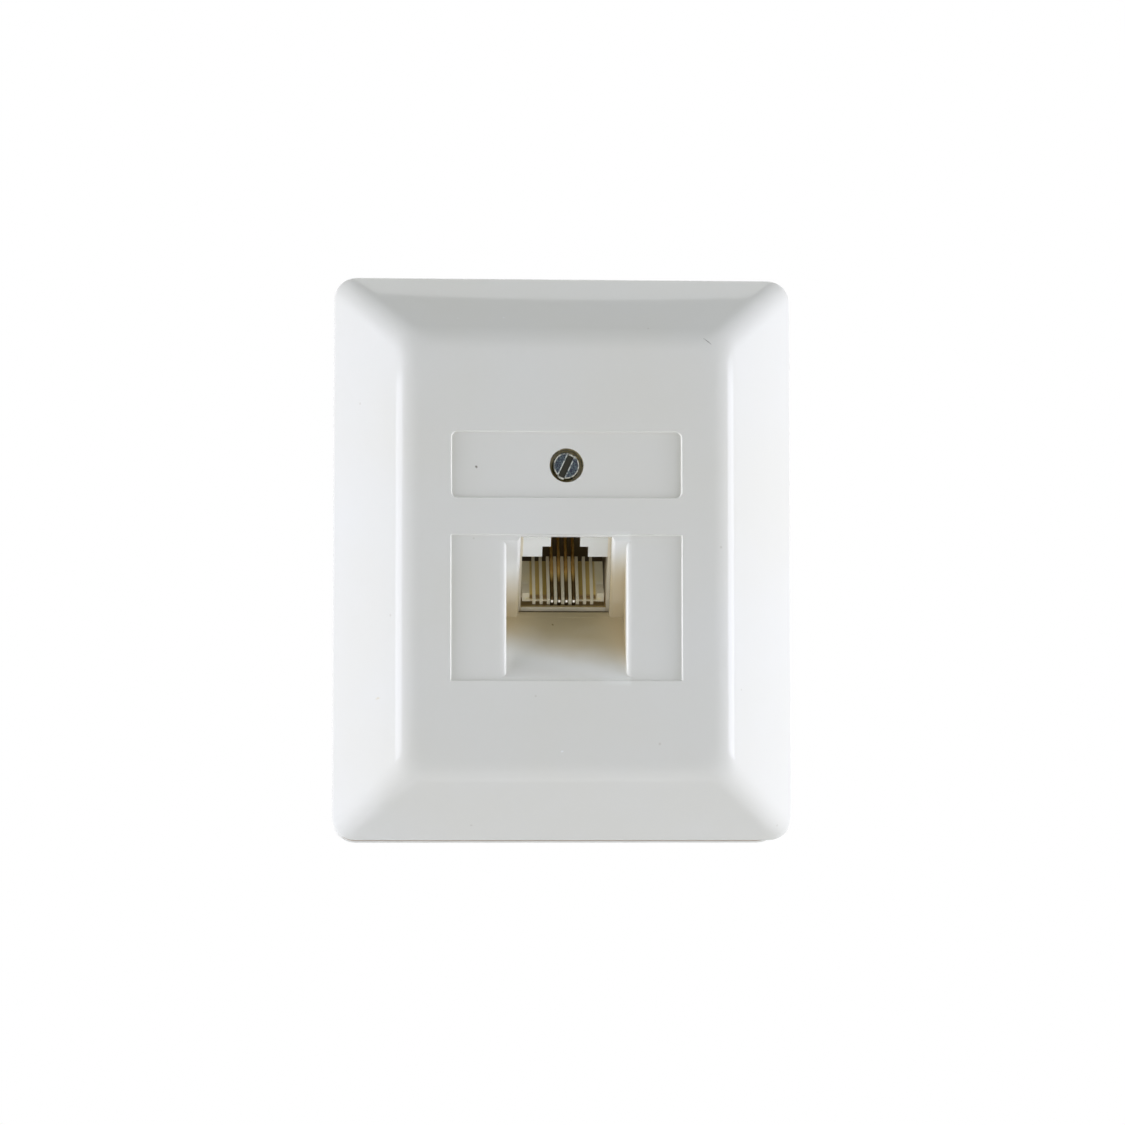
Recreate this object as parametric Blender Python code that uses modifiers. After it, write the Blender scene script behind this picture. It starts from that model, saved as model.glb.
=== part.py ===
"""Surface-mounted ethernet wall socket: bevelled cover, base plate, tilted jack and wiring terminals.

The wall is the plane Y = 0 and the face looks along -Y. Local sizes below are in millimetres,
measured as (x, depth behind the face, z).
"""

import math

import bmesh
import bpy
from mathutils import Matrix, Vector

MM = 0.001
SIDES = ((-1, "left"), (1, "right"))

# Clearance between pieces that touch or pass through each other.
GAP = 0.3

# Cover outline where the wall meets the sloping border, and its slopes.
COVER_HALF_WIDTH = 32.2
COVER_HALF_HEIGHT = 39.5
COVER_CORNER = 3.2
COVER_DRAFT = 0.05
BORDER_WIDTH_SIDES = 9.95
BORDER_WIDTH_ENDS = 9.2
BORDER_DROP = 9.6
BORDER_ROUNDING = 4.8
SHOULDER_ROUNDING = 0.7
COVER_WALL = 1.8
CORNER_STEPS = 8

# Base plate.
BASE_MARGIN_SIDES = -0.1
BASE_MARGIN_ENDS = 0.45
BASE_THICKNESS = 2.0
BASE_EDGE = 0.3
SHADOW_GAP = 0.4
LIP_HEIGHT = 3.0
LIP_WALL = 1.3

# Recesses of the face.
LABEL_HALF_WIDTH = 16.0
LABEL_BOTTOM = 7.76
LABEL_TOP = 17.0
LABEL_CORNER = 0.75
RECESS_DEPTH = 0.35
RECESS_SLOPE = 0.12
WINDOW_HALF_WIDTH = 16.04
WINDOW_BOTTOM = -17.54
WINDOW_TOP = 2.67

# Plug notch between the two halves of the window.
NOTCH_HALF_WIDTH = 8.32
NOTCH_DEPTH = 7.0
NOTCH_HEIGHT = -8.43
NOTCH_TOP = 2.4
NOTCH_EDGE_WIDTH = 1.1
NOTCH_EDGE_DEPTH = 0.5
NOTCH_WALL = 1.5
CUTOUT_HALF_WIDTH = 6.33
CUTOUT_EDGE = 0.6
CUTOUT_LEDGE = 0.9

# Jack, in its tilted frame: v runs inwards along the plug, u runs up across it.
JACK_FRONT = 2.0
JACK_BACK = 13.6
JACK_HALF_WIDTH = 7.4
JACK_FLOOR = -1.6
JACK_ROOF = 10.2
JACK_BROW = 12.4
JACK_BROW_BACK = 10.4
JACK_CHIN = 1.3
PORT_HALF_WIDTH = 6.0
PORT_BOTTOM = 0.43
PORT_TOP = 8.6
PORT_BACK = 12.6
LIP_THICKNESS = 0.6
LIP_BOTTOM = -0.1
WELL_HALF_WIDTH = 5.9
WELL_BOTTOM = -1.05
LATCH_HALF_WIDTH = 3.2
LATCH_TOP = 10.2
LATCH_SLOT_HALF_WIDTH = 2.03
LATCH_SLOT_TOP = 11.8
LATCH_BACK = 9.6

# Comb that guides the contacts: a sloping bed with ribs, and flat blocks at its front corners.
CONTACT_PITCH = 1.016
COMB_RIBS = 9
RIB_THICKNESS = 0.42
RIB_FRONT = 2.9
RIB_FOOT = 0.46
RIB_RISE = 0.72
COMB_HALF_WIDTH = 5.8
COMB_BOTTOM = 0.4
COMB_BACK = 12.3
COMB_OVERHANG = 5.0
SHELF_FRONT = 3.0
SHELF_TOP = 1.07
SHELF_BOTTOM = 0.86
CORNER_BLOCK_WIDTH = 1.05
CORNER_BLOCK_TOP = 2.2
CORNER_NOTCH = 0.55
BED_FRONT = (4.0, 1.2)
BED_BACK = (8.6, 4.2)
CONTACT_RADIUS = 0.22
CONTACT_NUMBERS = (3, 4, 5, 6)
CONTACT_LIFT = 0.36
CONTACT_STEEPNESS = 0.8
CONTACT_END = 12.1
CONTACT_TAIL = 9.8

# Screw that holds the cover.
SCREW_HEIGHT = 12.3
SCREW_HOLE_RADIUS = 2.37
SCREW_HEAD_RADIUS = 1.88
SCREW_HEAD_TOP = 0.9
SCREW_HEAD_HEIGHT = 2.6
SCREW_SHANK_RADIUS = 1.45
SCREW_PAST_NUT = 1.0
SCREW_SLOT_WIDTH = 0.9
SCREW_SLOT_ANGLE = 65.0
BOSS_RADIUS = 4.2
BOSS_END = 9.6
POST_RADIUS = 3.4
NUT_RADIUS = 2.3
NUT_LENGTH = 6.0
NUT_DEPTH = 0.3

# Circuit board and its feet.
BOARD_THICKNESS = 1.6
BOARD_STANDOFF = 2.0
BOARD_HALF_WIDTH = 21.0
BOARD_BOTTOM = -16.0
BOARD_TOP = 31.0
FOOT_RADIUS = 2.2
FOOT_X = 17.5
FOOT_HEIGHTS = (-12.5, 28.0)

# Bracket under the jack.
BRACKET_FLOOR = 0.8
BRACKET_HALF_WIDTH = 9.3
BRACKET_BOTTOM = -13.0
BRACKET_TOP = 7.6
BRACKET_STEP = 3.1
BRACKET_CHEEK_TOP = (4.2, 9.1)
BRACKET_CHEEK_BOTTOM = (5.6, -1.6)
FLANGE_HALF_WIDTH = 15.1
FLANGE_HALF_HEIGHT = 4.2
FLANGE_THICKNESS = 1.6
BRACKET_SCREW_X = 12.0
BRACKET_SCREW_Z = 0.0
BRACKET_BOSS_RADIUS = 2.9

# Small screws: head radius and height, shank radius, slot, and how far they reach past the base's front.
SMALL_HEAD_RADIUS = 2.3
SMALL_HEAD_HEIGHT = 1.5
SMALL_SHANK_RADIUS = 1.1
SMALL_SLOT = 0.6
SMALL_REACH = 0.8
SMALL_HOLE_RADIUS = 1.5
SMALL_BORE_RADIUS = 1.25

# Wiring terminals on the board.
TERMINAL_PITCH = 5.08
TERMINAL_COUNT = 4
TERMINAL_HEIGHT = 9.1
TERMINAL_BOTTOM = 18.2
TERMINAL_LENGTH = 8.2
TERMINAL_MARGIN = 0.3
WIRE_ROOM_HALF_WIDTH = 1.6
WIRE_ROOM_FRONT = 4.3
WIRE_ROOM_HEIGHT = 3.6
WIRE_ROOM_INSET = 1.4
TERMINAL_WALL = 0.45
TERMINAL_HEAD_RADIUS = 1.35
TERMINAL_HEAD_HEIGHT = 1.2
TERMINAL_HEAD_DEPTH = 1.3
TERMINAL_SHANK_RADIUS = 0.9
TERMINAL_SLOT = 0.45

# Cable clamp and openings of the base plate.
CLAMP_X = 8.0
CLAMP_Z = -21.2
CLAMP_HALF_WIDTH = 10.9
CLAMP_HALF_HEIGHT = 2.9
CLAMP_THICKNESS = 2.2
CLAMP_CHAMFER = 0.8
CLAMP_TONGUE_HALF_WIDTH = 4.6
CLAMP_TONGUE = 1.2
CLAMP_BOSS_RADIUS = 2.7
CLAMP_BOSS_HEIGHT = 4.5
ENTRY_HALF_WIDTH = 8.0
ENTRY_BOTTOM = -34.5
ENTRY_TOP = -25.5
ENTRY_CORNER = 1.5
WALL_SLOT_INSET = 6.6
WALL_SLOT_LENGTH = 8.0
WALL_SLOT_WIDTH = 3.8

# Depths behind the face, stacked up from the tilted jack to the wall.
NOTCH_TILT = math.atan2(NOTCH_DEPTH, NOTCH_TOP - NOTCH_HEIGHT)
RAMP_TILT = math.atan2(NOTCH_DEPTH, NOTCH_HEIGHT - WINDOW_BOTTOM)
JACK_DEEPEST = NOTCH_DEPTH + JACK_BACK * math.cos(NOTCH_TILT) - JACK_FLOOR * math.sin(NOTCH_TILT)
BRACKET_FOOT = JACK_DEEPEST + BRACKET_FLOOR
BOARD_FRONT = BRACKET_FOOT + GAP
BOARD_BACK = BOARD_FRONT + BOARD_THICKNESS
BASE_FRONT = BOARD_BACK + BOARD_STANDOFF
TOTAL_DEPTH = BASE_FRONT + BASE_THICKNESS
POST_TOP = BOSS_END + 2 * GAP
NUT_FRONT = POST_TOP + NUT_DEPTH
NUT_BACK = NUT_FRONT + NUT_LENGTH
SCREW_END = NUT_BACK + SCREW_PAST_NUT
TERMINAL_FRONT = BRACKET_FOOT - TERMINAL_HEIGHT
TERMINAL_TOP = TERMINAL_BOTTOM + TERMINAL_LENGTH
TERMINAL_SCREW_Z = TERMINAL_BOTTOM + TERMINAL_LENGTH / 2
CLAMP_BACK = BASE_FRONT - CLAMP_BOSS_HEIGHT - GAP
CLAMP_FRONT = CLAMP_BACK - CLAMP_THICKNESS
BED_SLOPE = (BED_BACK[1] - BED_FRONT[1]) / (BED_BACK[0] - BED_FRONT[0])

FRONT = Matrix.Scale(MM, 4) @ Matrix.Translation((0, -TOTAL_DEPTH, 0))
JACK = (
    FRONT
    @ Matrix.Translation((0, NOTCH_DEPTH, NOTCH_HEIGHT))
    @ Matrix.Rotation(NOTCH_TILT, 4, "X")
)
TAIL_HEIGHT = NOTCH_HEIGHT + CONTACT_TAIL * math.sin(NOTCH_TILT)


def clear_scene():
    for obj in list(bpy.data.objects):
        bpy.data.objects.remove(obj, do_unlink=True)


def new_collection(name):
    group = bpy.data.collections.new(name)
    bpy.context.scene.collection.children.link(group)
    return group


def material(name, colour, metallic, roughness):
    made = bpy.data.materials.new(name)
    made.use_nodes = True
    shader = made.node_tree.nodes["Principled BSDF"]
    shader.inputs["Base Color"].default_value = (*colour, 1)
    shader.inputs["Metallic"].default_value = metallic
    shader.inputs["Roughness"].default_value = roughness
    made.diffuse_color = (*colour, 1)
    return made


def object_of(name, mesh, group, skin=None):
    obj = bpy.data.objects.new(name, mesh)
    group.objects.link(obj)
    if group is CUTTERS:
        obj.hide_render = True
        obj.display_type = "WIRE"
    if skin:
        mesh.materials.append(skin)
    return obj


def mesh_of(name, bm):
    bmesh.ops.recalc_face_normals(bm, faces=bm.faces)
    mesh = bpy.data.meshes.new(name)
    bm.to_mesh(mesh)
    bm.free()
    return mesh


def box(name, low, high, group, frame=FRONT, skin=None):
    bm = bmesh.new()
    size = [b - a for a, b in zip(low, high)]
    centre = [(a + b) / 2 for a, b in zip(low, high)]
    place = frame @ Matrix.Translation(centre) @ Matrix.Diagonal((*size, 1))
    bmesh.ops.create_cube(bm, size=1, matrix=place)
    return object_of(name, mesh_of(name, bm), group, skin)


def cylinder(name, radius, x, z, near, far, group, frame=FRONT, steps=32, skin=None):
    """A round bar along the depth, from near to far behind the face."""
    bm = bmesh.new()
    place = frame @ Matrix.Translation((x, (near + far) / 2, z)) @ Matrix.Rotation(math.pi / 2, 4, "X")
    bmesh.ops.create_cone(
        bm,
        cap_ends=True,
        segments=steps,
        radius1=radius,
        radius2=radius,
        depth=far - near,
        matrix=place,
    )
    return object_of(name, mesh_of(name, bm), group, skin)


def prism(name, outline, start, end, group, frame=FRONT, axis="X", skin=None):
    """A flat outline pushed along one axis.

    Along X the outline holds (depth, z) pairs, and along Z it holds (x, depth) pairs.
    """
    bm = bmesh.new()
    if axis == "X":
        corners = [Vector((start, a, b)) for a, b in outline]
        travel = Vector((end - start, 0, 0))
    else:
        corners = [Vector((a, b, start)) for a, b in outline]
        travel = Vector((0, 0, end - start))
    face = bm.faces.new([bm.verts.new(frame @ point) for point in corners])
    pushed = bmesh.ops.extrude_face_region(bm, geom=[face])["geom"]
    moved = [part for part in pushed if isinstance(part, bmesh.types.BMVert)]
    bmesh.ops.translate(bm, verts=moved, vec=frame.to_3x3() @ travel)
    return object_of(name, mesh_of(name, bm), group, skin)


def rounded_ring(half_width, half_height, corner, depth, middle=0.0, steps=CORNER_STEPS):
    """Points of a rectangle with round corners, anticlockwise, at one depth."""
    points = []
    for index, (sx, sz) in enumerate(((1, 1), (-1, 1), (-1, -1), (1, -1))):
        for step in range(steps + 1):
            angle = math.pi / 2 * (index + step / steps)
            x = sx * (half_width - corner) + corner * math.cos(angle)
            z = sz * (half_height - corner) + corner * math.sin(angle)
            points.append((x, depth, middle + z))
    return points


def loft(name, rings, group, frame=FRONT, skin=None):
    """A closed skin through rings with the same number of points."""
    bm = bmesh.new()
    rows = [[bm.verts.new(frame @ Vector(point)) for point in ring] for ring in rings]
    count = len(rows[0])
    for first, second in zip(rows, rows[1:]):
        for i in range(count):
            j = (i + 1) % count
            bm.faces.new((first[i], first[j], second[j], second[i]))
    bm.faces.new(rows[0])
    bm.faces.new(rows[-1])
    return object_of(name, mesh_of(name, bm), group, skin)


def turned(name, profile, x, z, group, skin, steps=32):
    """A round piece from (radius, depth) pairs, listed from its front centre to its back centre."""
    mesh = bpy.data.meshes.new(name)
    points = [(radius * MM, 0, (TOTAL_DEPTH - depth) * MM) for radius, depth in profile]
    mesh.from_pydata(points, [(i, i + 1) for i in range(len(points) - 1)], [])
    obj = object_of(name, mesh, group, skin)
    obj.location = (x * MM, 0, z * MM)
    obj.rotation_euler = (math.pi / 2, 0, 0)
    screw = obj.modifiers.new("Turn", "SCREW")
    screw.axis = "Z"
    screw.steps = steps
    screw.render_steps = steps
    screw.use_merge_vertices = True
    screw.merge_threshold = 0.00001
    screw.use_smooth_shade = True
    return obj


def combine(obj, other, operation):
    step = obj.modifiers.new(f"{operation.title()} {other.name}"[:60], "BOOLEAN")
    step.operation = operation
    step.solver = "EXACT"
    step.object = other


def cut(obj, *others):
    for other in others:
        combine(obj, other, "DIFFERENCE")


def join(obj, *others):
    for other in others:
        combine(obj, other, "UNION")


def slotted_screw(name, x, z, head, head_top, head_height, shank, end, slot, angle, skin):
    """A cheese-head screw seen from the front, with a straight slot."""
    rounding = 0.18 * head
    profile = [
        (0, head_top),
        (head - rounding, head_top),
        (head - 0.3 * rounding, head_top + 0.3 * rounding),
        (head, head_top + rounding),
        (head, head_top + head_height),
        (shank, head_top + head_height),
        (shank, end - shank),
        (0.35 * shank, end),
        (0, end),
    ]
    obj = turned(name, profile, x, z, PARTS, skin)
    turn = Matrix.Translation((x, 0, z)) @ Matrix.Rotation(-math.radians(angle), 4, "Y")
    depth = head_top + 0.5 * head_height
    slot_cutter = box(
        f"{name}_slot",
        (-head - 1, head_top - 1, -slot / 2),
        (head + 1, depth, slot / 2),
        CUTTERS,
        FRONT @ turn,
    )
    cut(obj, slot_cutter)
    return obj


def border_rings():
    """The outside of the cover from its rim to the flat face."""
    rim = BASE_FRONT - SHADOW_GAP
    rings = [
        rounded_ring(
            COVER_HALF_WIDTH + COVER_DRAFT,
            COVER_HALF_HEIGHT + COVER_DRAFT,
            COVER_CORNER + COVER_DRAFT,
            rim,
        )
    ]
    slope_x = BORDER_WIDTH_SIDES / BORDER_DROP
    slope_z = BORDER_WIDTH_ENDS / BORDER_DROP
    shoulder = SHOULDER_ROUNDING
    for step in range(4):
        angle = math.pi / 4 * step / 3
        inset = shoulder * (1 - math.cos(angle))
        rise = shoulder * (math.sin(angle) - math.tan(math.pi / 8))
        rings.append(
            rounded_ring(
                COVER_HALF_WIDTH - inset * slope_x,
                COVER_HALF_HEIGHT - inset * slope_z,
                COVER_CORNER - inset,
                BORDER_DROP - rise,
            )
        )
    bend = BORDER_ROUNDING
    reach = bend * math.tan(math.pi / 8)
    for step in range(8):
        angle = math.pi / 4 * (1 - step / 7)
        out = bend * math.sin(angle) - reach
        depth = bend * (1 - math.cos(angle))
        rings.append(
            rounded_ring(
                COVER_HALF_WIDTH - BORDER_WIDTH_SIDES + out * slope_x,
                COVER_HALF_HEIGHT - BORDER_WIDTH_ENDS + out * slope_z,
                COVER_CORNER,
                depth,
            )
        )
    return rings


def hollow_rings():
    """The inside of the cover, from beyond its rim to the back of the face."""
    lean = COVER_WALL * math.tan(math.pi / 8)
    flat_x = COVER_HALF_WIDTH - BORDER_WIDTH_SIDES - lean
    flat_z = COVER_HALF_HEIGHT - BORDER_WIDTH_ENDS - lean
    inner_x = COVER_HALF_WIDTH - COVER_WALL
    inner_z = COVER_HALF_HEIGHT - COVER_WALL
    corner = COVER_CORNER - COVER_WALL + 0.4
    bend = COVER_WALL + BORDER_DROP * (inner_x - flat_x) / BORDER_WIDTH_SIDES
    return [
        rounded_ring(inner_x + COVER_DRAFT, inner_z + COVER_DRAFT, corner, BASE_FRONT + 1),
        rounded_ring(inner_x, inner_z, corner, bend),
        rounded_ring(flat_x, flat_z, corner, COVER_WALL),
    ]


def recess_rings(half_width, bottom, top, corner):
    middle = (bottom + top) / 2
    half = (top - bottom) / 2
    over = RECESS_SLOPE * (RECESS_DEPTH + 1) / RECESS_DEPTH
    return [
        rounded_ring(half_width + over, half + over, corner + over, -1, middle, 4),
        rounded_ring(half_width - RECESS_SLOPE, half - RECESS_SLOPE, corner, RECESS_DEPTH, middle, 4),
    ]


def flare_prism(name, half_width, edge, depths, heights, frame):
    """A slot cutter that opens out along a quarter ellipse where it meets the surface."""
    surface, bottom = depths
    side = []
    for step in range(7):
        angle = math.pi / 2 * step / 6
        x = half_width + edge[0] * (1 - math.sin(angle))
        side.append((x, surface + edge[1] * (1 - math.cos(angle))))
    ends = [(half_width + edge[0], surface - 5), *side, (half_width, bottom)]
    mirrored = [(-x, depth) for x, depth in reversed(ends)]
    return prism(name, [*ends, *mirrored], *heights, CUTTERS, frame, axis="Z")


def notch_cutter():
    """The V-shaped space in front of the jack, with round edges to the window."""
    ahead = 3.0
    out_top = NOTCH_TOP + ahead / math.tan(NOTCH_TILT)
    out_bottom = WINDOW_BOTTOM + 0.05 - ahead / math.tan(RAMP_TILT)
    outline = [(-ahead, out_top), (NOTCH_DEPTH, NOTCH_HEIGHT), (-ahead, out_bottom)]
    wide = NOTCH_HALF_WIDTH + NOTCH_EDGE_WIDTH
    wedge = prism("notch_cutter", outline, -wide - 1, wide + 1, CUTTERS)
    flare = flare_prism(
        "notch_flare",
        NOTCH_HALF_WIDTH,
        (NOTCH_EDGE_WIDTH, NOTCH_EDGE_DEPTH),
        (RECESS_DEPTH, NOTCH_DEPTH + 1),
        (out_bottom - 1, out_top + 1),
        FRONT,
    )
    combine(wedge, flare, "INTERSECT")
    return wedge


def along(start, direction, amount):
    return (start[0] + direction[0] * amount, start[1] + direction[1] * amount)


def notch_wall_outline():
    """Section of the two plates that close the notch off from the inside."""
    deep = (NOTCH_DEPTH, NOTCH_HEIGHT)
    inward_cheek = (math.cos(NOTCH_TILT), math.sin(NOTCH_TILT))
    inward_ramp = (math.cos(RAMP_TILT), -math.sin(RAMP_TILT))
    half = (NOTCH_TILT + RAMP_TILT) / 2
    split = (math.cos((NOTCH_TILT - RAMP_TILT) / 2), math.sin((NOTCH_TILT - RAMP_TILT) / 2))
    deepest = along(deep, split, NOTCH_WALL / math.cos(half))
    shallow = 1.0
    top = along((0, NOTCH_TOP), inward_cheek, NOTCH_WALL)
    bottom = along((0, WINDOW_BOTTOM), inward_ramp, NOTCH_WALL)
    top_z = top[1] + (top[0] - shallow) / math.tan(NOTCH_TILT)
    bottom_z = bottom[1] - (bottom[0] - shallow) / math.tan(RAMP_TILT)
    return [(shallow, top_z), deepest, (shallow, bottom_z)]


def jack_cutout():
    """The opening through the upper plate, down to a ledge that carries the ramp a little further in."""
    spread = NOTCH_TILT + RAMP_TILT
    ramp = (math.sin(spread), math.cos(spread))
    level = (math.cos(NOTCH_TILT), -math.sin(NOTCH_TILT))
    lift = 0.03
    start = along((0, lift), ramp, -1.0)
    ledge = along((0, lift), ramp, CUTOUT_LEDGE)
    behind = along(ledge, level, 2.0)
    ahead = -1.2
    beyond = 3.2
    top = (NOTCH_TOP - NOTCH_HEIGHT) / math.cos(NOTCH_TILT)
    drop = math.tan(NOTCH_TILT)
    outline = [
        start,
        ledge,
        behind,
        (beyond, behind[1]),
        (beyond, top - beyond * drop),
        (ahead, top - ahead * drop),
        (ahead, start[1]),
    ]
    wide = CUTOUT_HALF_WIDTH + CUTOUT_EDGE + 0.5
    opening = prism("jack_cutout", outline, -wide, wide, CUTTERS, JACK)
    flare = flare_prism(
        "cutout_flare", CUTOUT_HALF_WIDTH, (CUTOUT_EDGE, CUTOUT_EDGE), (0, beyond + 1), (-4, 16), JACK
    )
    combine(opening, flare, "INTERSECT")
    return opening


def build_cover():
    cover = loft("cover", border_rings(), PARTS, skin=WHITE)
    cut(cover, loft("cover_hollow", hollow_rings(), CUTTERS))
    half = NOTCH_HALF_WIDTH + NOTCH_WALL
    join(
        cover,
        prism("notch_walls", notch_wall_outline(), -half, half, CUTTERS),
        cylinder("screw_boss", BOSS_RADIUS, 0, SCREW_HEIGHT, 1.0, BOSS_END, CUTTERS),
    )
    seat = SCREW_HEAD_TOP + SCREW_HEAD_HEIGHT + GAP
    label = recess_rings(LABEL_HALF_WIDTH, LABEL_BOTTOM, LABEL_TOP, LABEL_CORNER)
    window = recess_rings(WINDOW_HALF_WIDTH, WINDOW_BOTTOM, WINDOW_TOP, 0.08)
    cut(
        cover,
        loft("label_recess", label, CUTTERS),
        loft("window_recess", window, CUTTERS),
        notch_cutter(),
        jack_cutout(),
        cylinder("head_hole", SCREW_HOLE_RADIUS, 0, SCREW_HEIGHT, -1, seat, CUTTERS),
        cylinder("shank_hole", SCREW_SHANK_RADIUS + GAP, 0, SCREW_HEIGHT, 0, BOSS_END + 1, CUTTERS),
    )
    return cover


def build_base():
    half_x = COVER_HALF_WIDTH + BASE_MARGIN_SIDES
    half_z = COVER_HALF_HEIGHT + BASE_MARGIN_ENDS
    base = loft(
        "base_plate",
        [
            rounded_ring(half_x, half_z, COVER_CORNER, TOTAL_DEPTH),
            rounded_ring(half_x, half_z, COVER_CORNER, BASE_FRONT + BASE_EDGE),
            rounded_ring(half_x - BASE_EDGE, half_z - BASE_EDGE, COVER_CORNER - BASE_EDGE, BASE_FRONT),
        ],
        PARTS,
        skin=WHITE,
    )
    lip_x = COVER_HALF_WIDTH - COVER_WALL - GAP
    lip_z = COVER_HALF_HEIGHT - COVER_WALL - GAP
    lip_corner = COVER_CORNER - COVER_WALL
    lip_front = BASE_FRONT - LIP_HEIGHT
    lip = loft(
        "base_lip",
        [rounded_ring(lip_x, lip_z, lip_corner, depth) for depth in (BASE_FRONT + 0.5, lip_front)],
        CUTTERS,
    )
    inner_x, inner_z, inner_corner = lip_x - LIP_WALL, lip_z - LIP_WALL, 0.4 * lip_corner
    lip_hollow = loft(
        "base_lip_hollow",
        [rounded_ring(inner_x, inner_z, inner_corner, depth) for depth in (BASE_FRONT + 1, lip_front - 1)],
        CUTTERS,
    )
    cut(lip, lip_hollow)
    into = BASE_FRONT + BASE_THICKNESS / 3
    stand = BOARD_BACK + GAP
    clamp_stand = BASE_FRONT - CLAMP_BOSS_HEIGHT
    bosses = [cylinder("cover_post", POST_RADIUS, 0, SCREW_HEIGHT, POST_TOP, into, CUTTERS)]
    for side, tag in SIDES:
        screw_x, foot_x, clamp_x = side * BRACKET_SCREW_X, side * FOOT_X, side * CLAMP_X
        wide = BRACKET_BOSS_RADIUS
        bosses += [
            cylinder(f"bracket_boss_{tag}", wide, screw_x, BRACKET_SCREW_Z, stand, into, CUTTERS),
            cylinder(f"clamp_boss_{tag}", CLAMP_BOSS_RADIUS, clamp_x, CLAMP_Z, clamp_stand, into, CUTTERS),
        ]
        for number, foot_z in enumerate(FOOT_HEIGHTS, 1):
            bosses.append(
                cylinder(f"board_foot_{tag}_{number}", FOOT_RADIUS, foot_x, foot_z, stand, into, CUTTERS)
            )
    join(base, lip, *bosses)
    nut_room = NUT_BACK + GAP
    bore = SCREW_SHANK_RADIUS + 1.5 * GAP
    cut(
        base,
        cylinder("nut_bore", NUT_RADIUS + GAP / 2, 0, SCREW_HEIGHT, POST_TOP - 1, nut_room, CUTTERS),
        cylinder("post_bore", bore, 0, SCREW_HEIGHT, POST_TOP, SCREW_END + 1, CUTTERS),
    )
    bore_end = BASE_FRONT + SMALL_REACH + GAP
    for side, tag in SIDES:
        half = WALL_SLOT_WIDTH / 2
        slot = [
            rounded_ring(half, WALL_SLOT_LENGTH / 2, 0.99 * half, depth, 0.0, 5)
            for depth in (BASE_FRONT - 1, TOTAL_DEPTH + 1)
        ]
        slot_x = side * (COVER_HALF_WIDTH - WALL_SLOT_INSET)
        moved = [[(x + slot_x, depth, z) for x, depth, z in ring] for ring in slot]
        screw_x, clamp_x = side * BRACKET_SCREW_X, side * CLAMP_X
        bore = SMALL_BORE_RADIUS
        cut(
            base,
            loft(f"wall_slot_{tag}", moved, CUTTERS),
            cylinder(f"bracket_hole_{tag}", bore, screw_x, BRACKET_SCREW_Z, stand - 1, bore_end, CUTTERS),
            cylinder(f"clamp_hole_{tag}", bore, clamp_x, CLAMP_Z, clamp_stand - 1, bore_end, CUTTERS),
        )
    middle = (ENTRY_BOTTOM + ENTRY_TOP) / 2
    half = (ENTRY_TOP - ENTRY_BOTTOM) / 2
    entry = [
        rounded_ring(ENTRY_HALF_WIDTH, half, ENTRY_CORNER, depth, middle, 4)
        for depth in (BASE_FRONT - 1, TOTAL_DEPTH + 1)
    ]
    cut(base, loft("cable_entry", entry, CUTTERS))
    return base


def build_board():
    board = box(
        "circuit_board",
        (-BOARD_HALF_WIDTH, BOARD_FRONT, BOARD_BOTTOM),
        (BOARD_HALF_WIDTH, BOARD_BACK, BOARD_TOP),
        PARTS,
        skin=LAMINATE,
    )
    near, far = BOARD_FRONT - 1, BOARD_BACK + 1
    wide, high = 2.3 * CONTACT_PITCH, 0.6 * CONTACT_PITCH
    low, top = (-wide, near, TAIL_HEIGHT - high), (wide, far, TAIL_HEIGHT + high)
    cut(
        board,
        cylinder("board_post_hole", POST_RADIUS + GAP, 0, SCREW_HEIGHT, near, far, CUTTERS),
        box("board_tail_slot", low, top, CUTTERS),
    )
    for side, tag in SIDES:
        x, z = side * BRACKET_SCREW_X, BRACKET_SCREW_Z
        cut(board, cylinder(f"board_hole_{tag}", SMALL_HOLE_RADIUS, x, z, near, far, CUTTERS))
    return board


def build_jack():
    """The moulded housing with its plug opening, latch notch and contact well."""
    housing = prism(
        "jack_housing",
        [
            (JACK_FRONT, LIP_BOTTOM),
            (JACK_FRONT + JACK_CHIN, JACK_FLOOR),
            (JACK_BACK, JACK_FLOOR),
            (JACK_BACK, JACK_ROOF),
            (JACK_BROW_BACK, JACK_ROOF),
            (JACK_BROW_BACK, JACK_BROW),
            (JACK_FRONT, JACK_BROW),
        ],
        -JACK_HALF_WIDTH,
        JACK_HALF_WIDTH,
        PARTS,
        JACK,
        skin=WHITE,
    )
    out = JACK_FRONT - 1
    lip_back = JACK_FRONT + LIP_THICKNESS
    well_back = PORT_BACK - 0.05
    tail_x, tail_half = 4.3 * CONTACT_PITCH, 0.6 * CONTACT_PITCH
    tail_front = NOTCH_DEPTH + CONTACT_TAIL * math.cos(NOTCH_TILT) + 0.3
    cut(
        housing,
        box(
            "port",
            (-PORT_HALF_WIDTH, out, PORT_BOTTOM),
            (PORT_HALF_WIDTH, PORT_BACK, PORT_TOP),
            CUTTERS,
            JACK,
        ),
        box(
            "well",
            (-WELL_HALF_WIDTH, lip_back, WELL_BOTTOM),
            (WELL_HALF_WIDTH, well_back, PORT_BOTTOM + 1),
            CUTTERS,
            JACK,
        ),
        box(
            "latch_step",
            (-LATCH_HALF_WIDTH, out, PORT_TOP - 1.0),
            (LATCH_HALF_WIDTH, LATCH_BACK, LATCH_TOP),
            CUTTERS,
            JACK,
        ),
        box(
            "latch_slot",
            (-LATCH_SLOT_HALF_WIDTH, out, PORT_TOP - 0.9),
            (LATCH_SLOT_HALF_WIDTH, LATCH_BACK - 0.1, LATCH_SLOT_TOP),
            CUTTERS,
            JACK,
        ),
        box(
            "tail_window",
            (-tail_x, tail_front, TAIL_HEIGHT - tail_half),
            (tail_x, BOARD_BACK, TAIL_HEIGHT + tail_half),
            CUTTERS,
        ),
    )
    return housing


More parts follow.
